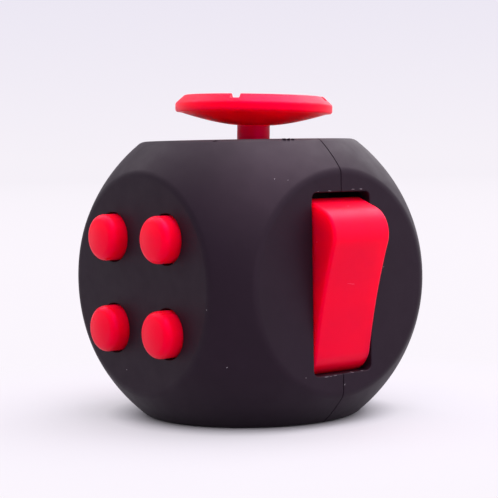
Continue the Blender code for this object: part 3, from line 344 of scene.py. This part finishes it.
class Nodes:
    """A material's node tree, written as calls."""

    def __init__(self, name):
        self.material = bpy.data.materials.new(name)
        self.material.use_nodes = True
        self.tree = self.material.node_tree
        self.shader = self.tree.nodes["Principled BSDF"]
        self.coords = self.tree.nodes.new("ShaderNodeTexCoord").outputs["Object"]

    def link(self, source, target):
        self.tree.links.new(source, target)

    def noise(self, scale, detail=3.0, roughness=0.5, stretch=None):
        node = self.tree.nodes.new("ShaderNodeTexNoise")
        node.inputs["Scale"].default_value = scale
        node.inputs["Detail"].default_value = detail
        node.inputs["Roughness"].default_value = roughness
        coords = self.coords
        if stretch:
            mapping = self.tree.nodes.new("ShaderNodeMapping")
            mapping.inputs["Scale"].default_value = stretch
            self.link(coords, mapping.inputs["Vector"])
            coords = mapping.outputs["Vector"]
        self.link(coords, node.inputs["Vector"])
        return node.outputs["Fac"]

    def spread(self, value, low, high, to_low=0.0, to_high=1.0):
        """Maps low..high to to_low..to_high, clamped."""
        node = self.tree.nodes.new("ShaderNodeMapRange")
        for name, number in (("From Min", low), ("From Max", high), ("To Min", to_low), ("To Max", to_high)):
            node.inputs[name].default_value = number
        self.link(value, node.inputs["Value"])
        return node.outputs["Result"]

    def math(self, operation, first, second):
        node = self.tree.nodes.new("ShaderNodeMath")
        node.operation = operation
        for socket, value in zip(node.inputs, (first, second)):
            if isinstance(value, (int, float)):
                socket.default_value = value
            else:
                self.link(value, socket)
        return node.outputs["Value"]

    def mix(self, factor, first, second):
        node = self.tree.nodes.new("ShaderNodeMix")
        node.data_type = "RGBA"
        self.link(factor, node.inputs["Factor"])
        for socket, value in ((node.inputs["A"], first), (node.inputs["B"], second)):
            if isinstance(value, (tuple, list)):
                socket.default_value = (*value, 1)
            else:
                self.link(value, socket)
        return node.outputs["Result"]

    def specks(self, scale, size, share):
        """A mask of small specks, one in a cell of 1/scale metres, in a share of the cells."""
        node = self.tree.nodes.new("ShaderNodeTexVoronoi")
        node.inputs["Scale"].default_value = scale
        self.link(self.coords, node.inputs["Vector"])
        near = self.spread(node.outputs["Distance"], size, size * 0.5)
        split = self.tree.nodes.new("ShaderNodeSeparateColor")
        self.link(node.outputs["Color"], split.inputs["Color"])
        chosen = self.math("LESS_THAN", split.outputs["Red"], share)
        return self.math("MULTIPLY", near, chosen)

    def bump(self, height, distance, strength=1.0, normal=None):
        node = self.tree.nodes.new("ShaderNodeBump")
        node.inputs["Distance"].default_value = distance
        node.inputs["Strength"].default_value = strength
        self.link(height, node.inputs["Height"])
        if normal:
            self.link(normal, node.inputs["Normal"])
        return node.outputs["Normal"]


# How many cells or waves a metre holds, and how deep they are in metres
CLOUD_SCALE = 160
SPECK_SCALE = 170
SMEAR_SCALE = 420
WAVE_SCALE = 700
WAVE_DEPTH = 0.00001
GRAIN_SCALE = 9000
GRAIN_DEPTH = 0.000004
STAIN_SCALE = 240
BRUSH_SCALE = 2600


def moulded(name, colour, roughness, variation, specular=0.5, gloss_tint=(1, 1, 1), dust=0.0,
            dust_colour=(0.5, 0.48, 0.5), glow_through=0.0):
    """Moulded plastic: a clouded colour, a fine grain, fingered gloss and a little dust.

    variation is the share by which the colour darkens and lightens, dust the share of the cells that hold a
    speck, and glow_through the share of the light that spreads inside.
    """
    nodes = Nodes(name)
    inputs = nodes.shader.inputs
    clouds = nodes.spread(nodes.noise(CLOUD_SCALE, 4), 0.3, 0.7)
    darker = [c * (1 - variation) for c in colour]
    lighter = [min(1, c * (1 + variation)) for c in colour]
    shown = nodes.mix(clouds, darker, lighter)
    if dust:
        shown = nodes.mix(nodes.specks(SPECK_SCALE, 0.022, dust), shown, dust_colour)
    nodes.link(shown, inputs["Base Color"])
    smears = nodes.noise(SMEAR_SCALE, 3, 0.55)
    nodes.link(nodes.spread(smears, 0.25, 0.75, roughness - 0.05, roughness + 0.05), inputs["Roughness"])
    fine = nodes.bump(nodes.noise(GRAIN_SCALE, 2, 0.6), GRAIN_DEPTH)
    nodes.link(nodes.bump(nodes.noise(WAVE_SCALE, 2), WAVE_DEPTH, 0.5, fine), inputs["Normal"])
    inputs["Specular IOR Level"].default_value = specular
    inputs["Specular Tint"].default_value = (*gloss_tint, 1)
    if glow_through:
        inputs["Subsurface Weight"].default_value = glow_through
        inputs["Subsurface Radius"].default_value = (1.0, 0.04, 0.12)
        inputs["Subsurface Scale"].default_value = 0.004
    return nodes.material


def metal(name, colour, roughness, stretch, brushed):
    """Bare steel, drawn or ground along the stretched direction, brushed so many metres deep."""
    nodes = Nodes(name)
    inputs = nodes.shader.inputs
    lines = nodes.noise(BRUSH_SCALE, 4, 0.65, stretch)
    tint = nodes.mix(nodes.spread(nodes.noise(STAIN_SCALE), 0.3, 0.7), [c * 0.92 for c in colour], colour)
    nodes.link(tint, inputs["Base Color"])
    nodes.link(nodes.spread(lines, 0.2, 0.8, roughness * 0.7, roughness * 1.3), inputs["Roughness"])
    nodes.link(nodes.bump(lines, brushed), inputs["Normal"])
    inputs["Metallic"].default_value = 1.0
    return nodes.material


# The body


def rounded_body(name, half, radius, rim_round, ring_points, arc_steps):
    """The ball with six flats: the hull of the flats' rounded rims and of the ball between them."""
    rim_angle = math.acos((half - rim_round) / (radius - rim_round))
    rim_centre = (radius - rim_round) * math.sin(rim_angle)
    points = []
    for degrees in FLATS.values():
        turn = rotation(degrees)
        for step in range(arc_steps + 1):
            angle = rim_angle * step / arc_steps
            across = rim_centre + rim_round * math.sin(angle)
            height = half - rim_round + rim_round * math.cos(angle)
            for x, y in circle(across, ring_points):
                points.append(turn @ Vector((x, y, height)))
    grid = bmesh.new()
    bmesh.ops.create_cube(grid, size=2)
    bmesh.ops.subdivide_edges(grid, edges=grid.edges, cuts=ring_points // 4, use_grid_fill=True)
    nearest = radius * math.cos(rim_angle + math.tau / ring_points * 0.5)
    for vert in grid.verts:
        on_ball = vert.co.normalized() * radius
        if max(abs(c) for c in on_ball) < nearest:
            points.append(on_ball)
    grid.free()
    bm = bmesh.new()
    for point in points:
        bm.verts.new(point)
    hull = bmesh.ops.convex_hull(bm, input=bm.verts)
    spare = [e for e in hull["geom_interior"] + hull["geom_unused"] if isinstance(e, bmesh.types.BMVert)]
    bmesh.ops.delete(bm, geom=list(dict.fromkeys(spare)), context="VERTS")
    bmesh.ops.dissolve_limit(bm, angle_limit=math.radians(0.05), verts=bm.verts, edges=bm.edges)
    return object_from(name, bm)


def half_of(obj, side):
    """Keeps one side of the parting plane, with the edge along the parting line eased."""
    gap, chamfer, on_plane = 0.08, 0.05, 1e-4
    bm = bmesh.new()
    bm.from_mesh(obj.data)
    seam = side * gap / 2
    for x in (seam + side * chamfer, seam):
        geometry = [*bm.verts, *bm.edges, *bm.faces]
        bmesh.ops.bisect_plane(
            bm, geom=geometry, plane_co=(x, 0, 0), plane_no=(-side, 0, 0), clear_outer=x == seam
        )
    rim = [v for v in bm.verts if abs(v.co.x - seam) < on_plane]
    for vert in rim:
        out = Vector((0, vert.co.y, vert.co.z))
        vert.co -= out.normalized() * chamfer
    bmesh.ops.holes_fill(bm, edges=[e for e in bm.edges if e.is_boundary], sides=0)
    bmesh.ops.recalc_face_normals(bm, faces=bm.faces)
    bm.to_mesh(obj.data)
    bm.free()
    return obj


def tongue():
    """The lip inside the parting line, which closes the line to the light."""
    inset, depth, reach, beyond = 0.35, 0.6, 0.035, 25
    lip = rounded_body("tongue", FACE - inset, BALL - inset, rim_round=1.2, ring_points=72, arc_steps=3)
    return combined(lip, "INTERSECT", box("lip_width", (-depth, -beyond, -beyond), (reach, beyond, beyond)))


def build_half(name, side, casing, node):
    whole = rounded_body(name, FACE, BALL, rim_round=1.5, ring_points=POINTS_ON_RIM, arc_steps=7)
    shell = half_of(whole, side)
    if side < 0:
        combined(shell, "UNION", tongue())
    placed(shell)
    cavity = rounded_body("cavity", INSIDE, BALL - WALL, rim_round=0.6, ring_points=36, arc_steps=1)
    combined(shell, "DIFFERENCE", placed(cavity))
    if side < 0:
        for where, (x, y) in BUTTONS.items():
            hole = round_mouth(where, BUTTON_OPENING, edge=0.1)
            combined(shell, "DIFFERENCE", placed(hole, "left", (x, y, 0)))
    else:
        half_chord = math.sqrt(WHEEL_RADIUS**2 - max(0, INSIDE - WHEEL_AXLE) ** 2)
        clearance, corner = 0.3, 0.35
        slot = rectangular_mouth("wheel_slot", WHEEL_SLOT_WIDTH, 2 * (half_chord + clearance), corner)
        combined(
            shell,
            "DIFFERENCE",
            placed(slot, "right", (0, WHEEL_UP, 0)),
            placed(ball("ball_seat", STEEL_BALL_SEAT), "right", STEEL_BALL_PLACE),
        )
    pocket = rectangular_mouth("pocket", POCKET_WIDTH, POCKET_LENGTH, POCKET_CORNER, edge=0.16)
    combined(
        shell,
        "DIFFERENCE",
        placed(pocket, "front"),
        placed(round_mouth("joystick_opening", JOYSTICK_OPENING), "top", (*JOYSTICK_OFFSET, 0)),
        placed(round_mouth("dial_opening", DIAL_OPENING), "back"),
        placed(round_mouth("rest_opening", REST_OPENING), "bottom"),
    )
    return done(shell, "casing", casing, "casing", node, smooth=30)


# The pieces on the flats


def build_buttons(red):
    top, crown, edge, steps = FACE + 2.3, 0.18, 1.0, 6
    flange, spigot = 3.6, 1.2
    under, end = SEAT - FLANGE, SEAT - 1.4
    start = BUTTON_RADIUS - edge
    profile = [(0, top)]
    for n in range(1, steps + 1):
        across = start * n / steps
        profile.append((across, top - crown * (n / steps) ** 2))
    profile += arc((start, top - crown - edge), edge, 78, 0, 12)
    profile += filleted([(BUTTON_RADIUS, SEAT), (flange, SEAT, 0.1), (flange, under, 0.1), (spigot, under)])
    profile += [(spigot, end), (0, end)]
    for where, (x, y) in BUTTONS.items():
        button = placed(lathe(f"push_button_{where}", profile), "left", (x, y, 0))
        done(button, f"button_{where}", red, "red_plastic", f"button_{where}")


def build_rocker(red):
    half, half_width, rise, dish, end_round = 9.95, 4.3, 6.9, 0.3, 3.3
    foot, flare, steps = 0.8, 0.38, 12
    web, hollow_end, hollow_side, hollow_low, hollow_roof = 1.7, 8.6, 3.1, -1, 5.4
    hub, hub_half, bore, through = 1.9, 3.5, 1.05, 9
    nose, nose_half, nose_down, neck_half = 0.6, 2.5, -1.9, 0.54
    bend = half - end_round
    outline = [(half + flare, foot), *arc((bend, rise - end_round), end_round, 0, 90, 22)]
    for n in range(1, 2 * steps):
        along = 1 - n / steps
        outline.append((bend * along, rise - dish * (1 - along**2)))
    outline += [*arc((-bend, rise - end_round), end_round, 90, 180, 22), (-half - flare, foot)]
    side_view, across = (90, 0, 90), (0, 90, 0)
    key = softened(prism("rocker_key", outline, -half_width, half_width), 0.4, 5)
    on_rocker(key, side_view)
    for side in (1, -1):
        low, high = sorted((side * web, side * hollow_end))
        hollow = box("hollow", (-hollow_side, low, hollow_low), (hollow_side, high, hollow_roof))
        combined(key, "DIFFERENCE", on_rocker(hollow))
    combined(
        key,
        "UNION",
        on_rocker(cylinder("hub", hub, -hub_half, hub_half, SMALL_ROUND), across),
        on_rocker(box("neck", (-nose_half, -neck_half, nose_down), (nose_half, neck_half, 0))),
        on_rocker(cylinder("nose", nose, -nose_half, nose_half, TINY_ROUND), across, (0, 0, nose_down)),
    )
    combined(key, "DIFFERENCE", on_rocker(cylinder("bore", bore, -through, through, SMALL_ROUND), across))
    return done(key, "rocker", red, "red_plastic", "rocker", smooth=30)


def build_joystick(red):
    """The cap with its dish, raised ring and four notches, and the stem that leans with it."""
    top, radius, dish, stem, spigot, shoulder, foot = 12.3, 9.5, 0.6, 1.98, 1.25, 7.0, 1.3
    underside, steps = top - 3.5, 13
    profile = filleted([(0, top - dish), (7.15, top - dish, 0.5), (7.8, top, 0.2), (8.4, top, 0.3),
                        (radius, top - 1.0, 0.45), (radius, top - 1.9, 0.4), (0, top - 9)])[:-1]
    for n in range(1, steps):
        share = 1 - n / steps
        profile.append((stem + 7.4 * share, underside + 1.6 * share**1.5))
    profile += [(stem, underside), (stem, shoulder), (spigot, shoulder), (spigot, foot), (0, foot)]
    cap = lathe("joystick_cap", profile, POINTS_ON_RIM)
    notch_half, notch_depth, first_notch = 0.6, 0.5, 35.4
    for n in range(4):
        notch = box("notch", (6.9, -notch_half, top - notch_depth), (10.5, notch_half, top + 1))
        softened(notch, 0.1, 2)
        notch.data.transform(Matrix.Rotation(math.radians(first_notch + 90 * n), 4, "Z"))
        combined(cap, "DIFFERENCE", notch)
    on_joystick(leaning(cap, shoulder + 0.05))
    return done(cap, "joystick", red, "red_plastic", "joystick", smooth=30)


def build_dial(red):
    """The dial with its fluted edge, the dimple for a finger and the ring of click notches below."""
    top, dish, bore, chamber = FACE + 3.3, 0.4, 2.15, 2.45
    roof, neck = top - 1.9, (INSIDE + top - 1.9) / 2
    profile = filleted([(0, top - dish), (6.0, top - dish, 1.2), (7.1, top, 0.6), (DIAL_RADIUS, top, 0.6),
                        (DIAL_RADIUS, INSIDE, 0.1), (bore, INSIDE), (bore, neck), (chamber, neck + 0.3),
                        (chamber, roof), (0, roof)])
    dial = placed(lathe("spinning_dial", profile, POINTS_ON_RIM), "back")
    flutes, flute_round, reach = 18, 0.6, DIAL_RADIUS + 0.3
    for n in range(flutes):
        angle = math.tau * (n + 0.5) / flutes
        flute = cylinder("flute", flute_round, FACE + 0.3, top + 1, TINY_ROUND)
        where = (reach * math.cos(angle), reach * math.sin(angle), 0)
        combined(dial, "DIFFERENCE", placed(flute, "back", where))
    depth, dimple, dimple_out = 0.8, 2.0, 4.8
    bowl = (dimple**2 + depth**2) / (2 * depth)
    place = (0, dimple_out, top - dish - depth + bowl)
    combined(dial, "DIFFERENCE", placed(ball("dimple", bowl), "back", place))
    clicks, click_round, click_half, click_out = 12, 0.4, 0.9, 6.7
    for n in range(clicks):
        angle = math.tau * n / clicks
        notch = cylinder("click", click_round, -click_half, click_half, 12)
        notch.data.transform(Matrix.Rotation(angle, 4, "Z") @ Matrix.Translation((click_out, 0, 0))
                             @ Matrix.Rotation(math.radians(90), 4, "Y"))
        combined(dial, "DIFFERENCE", placed(notch, "back", (0, 0, INSIDE)))
    return done(dial, "dial", red, "red_plastic", "dial", smooth=30)


def build_wheels(red):
    tooth, teeth, half_width, bore = 0.6, 12, 1.3, 0.95
    pitch = math.tau / teeth
    # Half a tooth as shares of the pitch from its middle and distances from the axle, then its other half
    steps = [(-0.32, WHEEL_RADIUS - tooth), (-0.2, WHEEL_RADIUS - 0.09), (-0.1, WHEEL_RADIUS)]
    steps += [(-share, reach) for share, reach in steps[::-1]]
    corners = []
    for n in range(teeth):
        for share, reach in steps:
            angle = (n + share) * pitch
            corners.append((reach * math.cos(angle), reach * math.sin(angle), 0.12))
    outline = filleted(corners, 2)
    for n, where in enumerate(("front", "middle", "rear")):
        wheel = softened(prism(f"toothed_wheel_{where}", outline, -half_width, half_width), 0.2, 3)
        combined(wheel, "DIFFERENCE", cylinder("bore", bore, -3, 3, SMALL_ROUND))
        wheel.data.transform(rotation((90, 0, 90)).to_4x4())
        placed(wheel, "right", ((n - 1) * WHEEL_SPACING, WHEEL_UP, WHEEL_AXLE))
        done(wheel, f"roller_wheel_{where}", red, "red_plastic", f"roller_wheel_{where}", smooth=30)


def build_steel_ball(steel):
    sphere = placed(ball("bearing_ball", STEEL_BALL), "right", STEEL_BALL_PLACE)
    return done(sphere, "ball", steel, "polished_steel", "ball", smooth=60)


def build_thumb_rest(red):
    rim, reach, depth = FACE - 0.3, 7.1, 2.3
    outer, flange, hollow, under = 7.7, 8.8, 6.16, SEAT - FLANGE
    bowl = (reach**2 + depth**2) / (2 * depth)
    half = math.degrees(math.asin(reach / bowl))
    dish = arc((0, rim - depth + bowl), bowl, -90, -90 + half, 24)
    profile = [(0, rim - depth), *dish[1:-1]]
    profile += filleted([dish[-2], (reach, rim, 0.15), (outer, rim, 0.15), (outer, SEAT), (flange, SEAT, 0.1),
                         (flange, under, 0.1), (hollow, under), (0, rim - depth - 1.0)])[1:]
    rest = placed(lathe("thumb_dish", profile), "bottom")
    return done(rest, "casing", red, "red_plastic", "thumb_rest", smooth=30)


# Floor, background, lights and camera


def build_stage():
    """A wide pale floor, which glows evenly where the camera sees it and takes the toy's shadow near it."""
    floor = new_object("floor", bpy.data.meshes.new("floor"))
    bm = bmesh.new()
    bmesh.ops.create_circle(bm, cap_ends=True, segments=ROUND, radius=6.0)
    bm.to_mesh(floor.data)
    bm.free()
    nodes = Nodes("pale_floor")
    tree, shader = nodes.tree, nodes.shader
    shader.inputs["Base Color"].default_value = (0.41, 0.39, 0.44, 1)
    shader.inputs["Roughness"].default_value = 0.8
    shader.inputs["Specular IOR Level"].default_value = 0.1
    glow = tree.nodes.new("ShaderNodeEmission")
    mixed = tree.nodes.new("ShaderNodeMixShader")
    path = tree.nodes.new("ShaderNodeLightPath")
    seen = nodes.math("MAXIMUM", path.outputs["Is Camera Ray"], path.outputs["Is Glossy Ray"])
    seen = nodes.math("MAXIMUM", seen, path.outputs["Is Transmission Ray"])
    distance = tree.nodes.new("ShaderNodeVectorMath")
    distance.operation = "LENGTH"
    nodes.link(nodes.coords, distance.inputs[0])
    away = distance.outputs["Value"]
    horizon_start, horizon_end = 0.3, 2.0
    far = nodes.spread(away, horizon_start, horizon_end)
    nodes.link(nodes.mix(far, (0.97, 0.925, 0.985), (0.92, 0.88, 0.94)), glow.inputs["Color"])
    under_toy, toy_edge, shadow_end = 0.0125, 0.018, 0.055
    near = nodes.spread(away, under_toy, toy_edge, 0.0, 0.5)
    lifted = nodes.math("ADD", near, nodes.spread(away, toy_edge, shadow_end, 0.0, 0.5))
    nodes.link(nodes.math("MULTIPLY", seen, lifted), mixed.inputs["Fac"])
    nodes.link(shader.outputs["BSDF"], mixed.inputs[1])
    nodes.link(glow.outputs["Emission"], mixed.inputs[2])
    nodes.link(mixed.outputs["Shader"], tree.nodes["Material Output"].inputs["Surface"])
    floor.data.materials.append(nodes.material)


def build_world():
    """A pale background by height for the camera and reflections, and an even light for the rest."""
    world = bpy.data.worlds.new("studio")
    bpy.context.scene.world = world
    world.use_nodes = True
    tree = world.node_tree
    tree.nodes.clear()
    coords = tree.nodes.new("ShaderNodeTexCoord")
    height = tree.nodes.new("ShaderNodeSeparateXYZ")
    tree.links.new(coords.outputs["Generated"], height.inputs["Vector"])
    ramp = tree.nodes.new("ShaderNodeValToRGB")
    stops = ((0.0, (0.92, 0.88, 0.94)), (0.1, (0.84, 0.805, 0.9)), (0.25, (0.4, 0.38, 0.43)),
             (0.7, (0.5, 0.48, 0.52)))
    while len(ramp.color_ramp.elements) < len(stops):
        ramp.color_ramp.elements.new(1)
    for element, (position, colour) in zip(ramp.color_ramp.elements, stops):
        element.position = position
        element.color = (*colour, 1)
    tree.links.new(height.outputs["Z"], ramp.inputs["Fac"])
    shown = tree.nodes.new("ShaderNodeBackground")
    tree.links.new(ramp.outputs["Color"], shown.inputs["Color"])
    light = tree.nodes.new("ShaderNodeBackground")
    light.inputs["Color"].default_value = (0.97, 0.95, 1.0, 1)
    light.inputs["Strength"].default_value = 0.78
    path = tree.nodes.new("ShaderNodeLightPath")
    seen = path.outputs["Is Camera Ray"]
    for ray in ("Is Glossy Ray", "Is Transmission Ray"):
        either = tree.nodes.new("ShaderNodeMath")
        either.operation = "MAXIMUM"
        tree.links.new(seen, either.inputs[0])
        tree.links.new(path.outputs[ray], either.inputs[1])
        seen = either.outputs["Value"]
    mixed = tree.nodes.new("ShaderNodeMixShader")
    tree.links.new(seen, mixed.inputs["Fac"])
    tree.links.new(light.outputs["Background"], mixed.inputs[1])
    tree.links.new(shown.outputs["Background"], mixed.inputs[2])
    output = tree.nodes.new("ShaderNodeOutputWorld")
    tree.links.new(mixed.outputs["Shader"], output.inputs["Surface"])


def area_light(name, at, size, power):
    """A soft lamp that faces the toy's centre."""
    data = bpy.data.lights.new(name, "AREA")
    data.shape = "RECTANGLE"
    data.size, data.size_y = size
    data.energy = power
    data.color = LAMP_COLOUR
    lamp = bpy.data.objects.new(name, data)
    lamp.location = at
    lamp.rotation_euler = (Vector((0, 0, FACE * MM)) - Vector(at)).to_track_quat("-Z", "Y").to_euler()
    bpy.context.scene.collection.objects.link(lamp)


def line_of_sight(pixel):
    """The direction in which the camera sees a pixel of the photograph, in the camera's own axes."""
    x, y = pixel
    return Vector(((x - PICTURE_MIDDLE) / FOCAL, (PICTURE_MIDDLE - y) / FOCAL, -1)).normalized()


def build_camera():
    """The photograph's camera, turned so that the toy's centre is seen at its pixel."""
    azimuth, elevation, roll = radians((VIEW_AZIMUTH, VIEW_ELEVATION, VIEW_ROLL))
    distance, sensor = VIEW_DISTANCE * MM, 36
    back = Vector((-math.sin(azimuth) * math.cos(elevation), -math.cos(azimuth) * math.cos(elevation),
                   math.sin(elevation)))
    right = (-back).cross(Vector((0, 0, 1))).normalized()
    facing = Matrix((right, back.cross(right), back))
    aim = Vector((0, 0, -1)).rotation_difference(line_of_sight(BODY_CENTRE_PIXEL)).to_matrix()
    turned = aim @ Matrix.Rotation(roll, 3, "Z") @ facing
    data = bpy.data.cameras.new("camera")
    data.sensor_width = sensor
    data.lens = FOCAL * sensor / (2 * PICTURE_MIDDLE)
    data.clip_start = 0.01
    camera = bpy.data.objects.new("camera", data)
    camera.matrix_world = Matrix.Translation(CENTRE * MM + back * distance) @ turned.transposed().to_4x4()
    bpy.context.scene.collection.objects.link(camera)
    bpy.context.scene.camera = camera
    bpy.context.view_layer.update()
    return camera


# Dust, flash and wear, which sit on the pieces where the camera sees them in the photograph


def seen_at(camera, pixel, pieces):
    """The nearest place and normal of the pieces behind a pixel, in millimetres."""
    eye = camera.matrix_world.translation
    towards = camera.matrix_world.to_3x3() @ line_of_sight(pixel)
    hits = []
    for piece in pieces:
        back = piece.matrix_world.inverted()
        met, where, normal, _ = piece.ray_cast(back @ eye, back.to_3x3() @ towards)
        if met:
            place = piece.matrix_world @ where
            hits.append(((place - eye).length, place / MM, piece.matrix_world.to_3x3() @ normal))
    return min(hits)[1:]


def crumbs(name, camera, pieces, body, material, slot, spots):
    """Small crumbs on the pieces of a body.

    Each spot is a pixel's x and y, a length, a breadth and a height in millimetres, and a turn in degrees.
    """
    picker = random.Random(name)
    across = camera.matrix_world.to_3x3() @ Vector((1, 0, 0))
    bm = bmesh.new()
    for x, y, length, breadth, height, turn in spots:
        where, normal = seen_at(camera, (x, y), pieces)
        along = (across - normal * across.dot(normal)).normalized()
        facing = Matrix((along, normal.cross(along), normal)).transposed()
        facing = facing @ Matrix.Rotation(math.radians(turn), 3, "Z")
        corners = []
        for _ in range(16):
            way = Vector([picker.gauss(0, 1) for _ in range(3)]).normalized()
            reach = Vector((way.x * length / 2, way.y * breadth / 2, way.z * height))
            corners.append(bm.verts.new(where + facing @ reach * picker.uniform(0.8, 1.0)))
        bmesh.ops.convex_hull(bm, input=corners)
    spare = [v for v in bm.verts if not v.link_faces]
    bmesh.ops.delete(bm, geom=spare, context="VERTS")
    return done(object_from(name, bm), body, material, slot)


def build_wear(camera, shells, rocker, casing):
    lint = moulded("pale_lint", (0.5, 0.45, 0.5), 0.7, 0.2)
    whitened = moulded("whitened_flash", (0.22, 0.19, 0.22), 0.7, 0.3)
    pink = moulded("pink_dust", (0.85, 0.22, 0.34), 0.7, 0.1)
    crumbs("dust_on_casing", camera, shells, "casing", lint, "casing", [
        (274.5, 179, 0.14, 0.1, 0.03, 20), (288, 180, 0.1, 0.07, 0.02, 0),
        (126.7, 369.6, 0.16, 0.12, 0.03, 60), (227, 367.7, 0.13, 0.1, 0.03, 0),
        (383.6, 266.6, 0.12, 0.1, 0.03, 30), (206.6, 310, 0.11, 0.08, 0.03, 0),
        (306, 378, 0.1, 0.09, 0.03, 50)])
    crumbs("dust_on_rocker", camera, [rocker], "rocker", pink, "red_plastic", [
        (348, 206, 0.3, 0.18, 0.02, 70), (317, 242, 0.12, 0.1, 0.03, 0),
        (351, 283.8, 1.7, 0.035, 0.012, -20)])
    crumbs("flash_on_casing", camera, shells, "casing", whitened, "casing", [
        (318, 191.4, 0.25, 0.06, 0.03, 0), (329.5, 190.9, 0.8, 0.07, 0.04, 0),
        (353, 189.2, 0.7, 0.06, 0.05, 0), (361, 189, 0.5, 0.09, 0.05, 0),
        (327, 377, 0.75, 0.08, 0.04, 8), (335, 375.6, 0.7, 0.09, 0.05, 10),
        (331, 376.5, 0.4, 0.06, 0.04, -4), (352, 372.3, 0.5, 0.06, 0.03, 12),
        (362, 370.6, 0.4, 0.07, 0.03, 10), (344.6, 384.8, 0.35, 0.1, 0.03, 60)])
    crumbs("burr_on_casing", camera, shells, "casing", casing, "casing", [
        (284, 139.8, 0.6, 0.3, 0.27, 0), (288.5, 139.8, 0.5, 0.3, 0.25, 0),
        (293, 139.8, 0.5, 0.25, 0.22, 0), (217, 140.7, 1.2, 0.3, 0.1, 0)])


# The whole


def dress_inner_nodes():
    """The CAD nodes that stay keep their shape and get finished materials."""
    black = moulded("black_moulding", (0.012, 0.012, 0.013), 0.5, 0.1)
    acetal = moulded("natural_acetal", (0.62, 0.6, 0.54), 0.35, 0.03)
    grey = moulded("grey_moulding", (0.17, 0.17, 0.18), 0.5, 0.06)
    silicone = moulded("milky_silicone", (0.6, 0.6, 0.57), 0.6, 0.04)
    inputs = silicone.node_tree.nodes["Principled BSDF"].inputs
    inputs["Subsurface Weight"].default_value = 0.4
    inputs["Subsurface Scale"].default_value = 0.001
    drawn = metal("drawn_steel", (0.6, 0.6, 0.62), 0.32, stretch=(1, 0.05, 1), brushed=0.000004)
    looks = {"black_plastic": black, "natural_plastic": acetal, "grey_plastic": grey, "silicone": silicone,
             "steel": drawn}
    for piece in frame["record"]["subparts"]:
        material = looks.get(piece["material_slot"])
        if material:
            node = frame["nodes"][piece["node"]]
            node.data.materials.clear()
            node.data.materials.append(material)


def main():
    bpy.context.scene.view_settings.view_transform = "Standard"
    casing = moulded("soft_touch_casing", (0.004, 0.0014, 0.0049), roughness=0.56, variation=0.1,
                     specular=0.265, gloss_tint=(1, 0.68, 0.91), dust=0.25)
    red = moulded("satin_red", (0.78, 0.0003, 0.015), roughness=0.42, variation=0.03, specular=0.2,
                  gloss_tint=(1, 0.01, 1), dust=0.08, dust_colour=(0.9, 0.4, 0.5), glow_through=1.0)
    polished = metal("polished_steel", (0.72, 0.72, 0.74), 0.12, stretch=(1, 1, 1), brushed=0.0000005)

    shells = [build_half("casing_left", -1, casing, "left_shell"),
              build_half("casing_right", 1, casing, "right_shell")]
    build_buttons(red)
    rocker = build_rocker(red)
    build_joystick(red)
    build_dial(red)
    build_wheels(red)
    build_steel_ball(polished)
    build_thumb_rest(red)
    dress_inner_nodes()

    build_stage()
    build_world()
    for name, (at, size, power) in LAMPS.items():
        area_light(name, at, size, power)
    build_wear(build_camera(), shells, rocker, casing)


main()
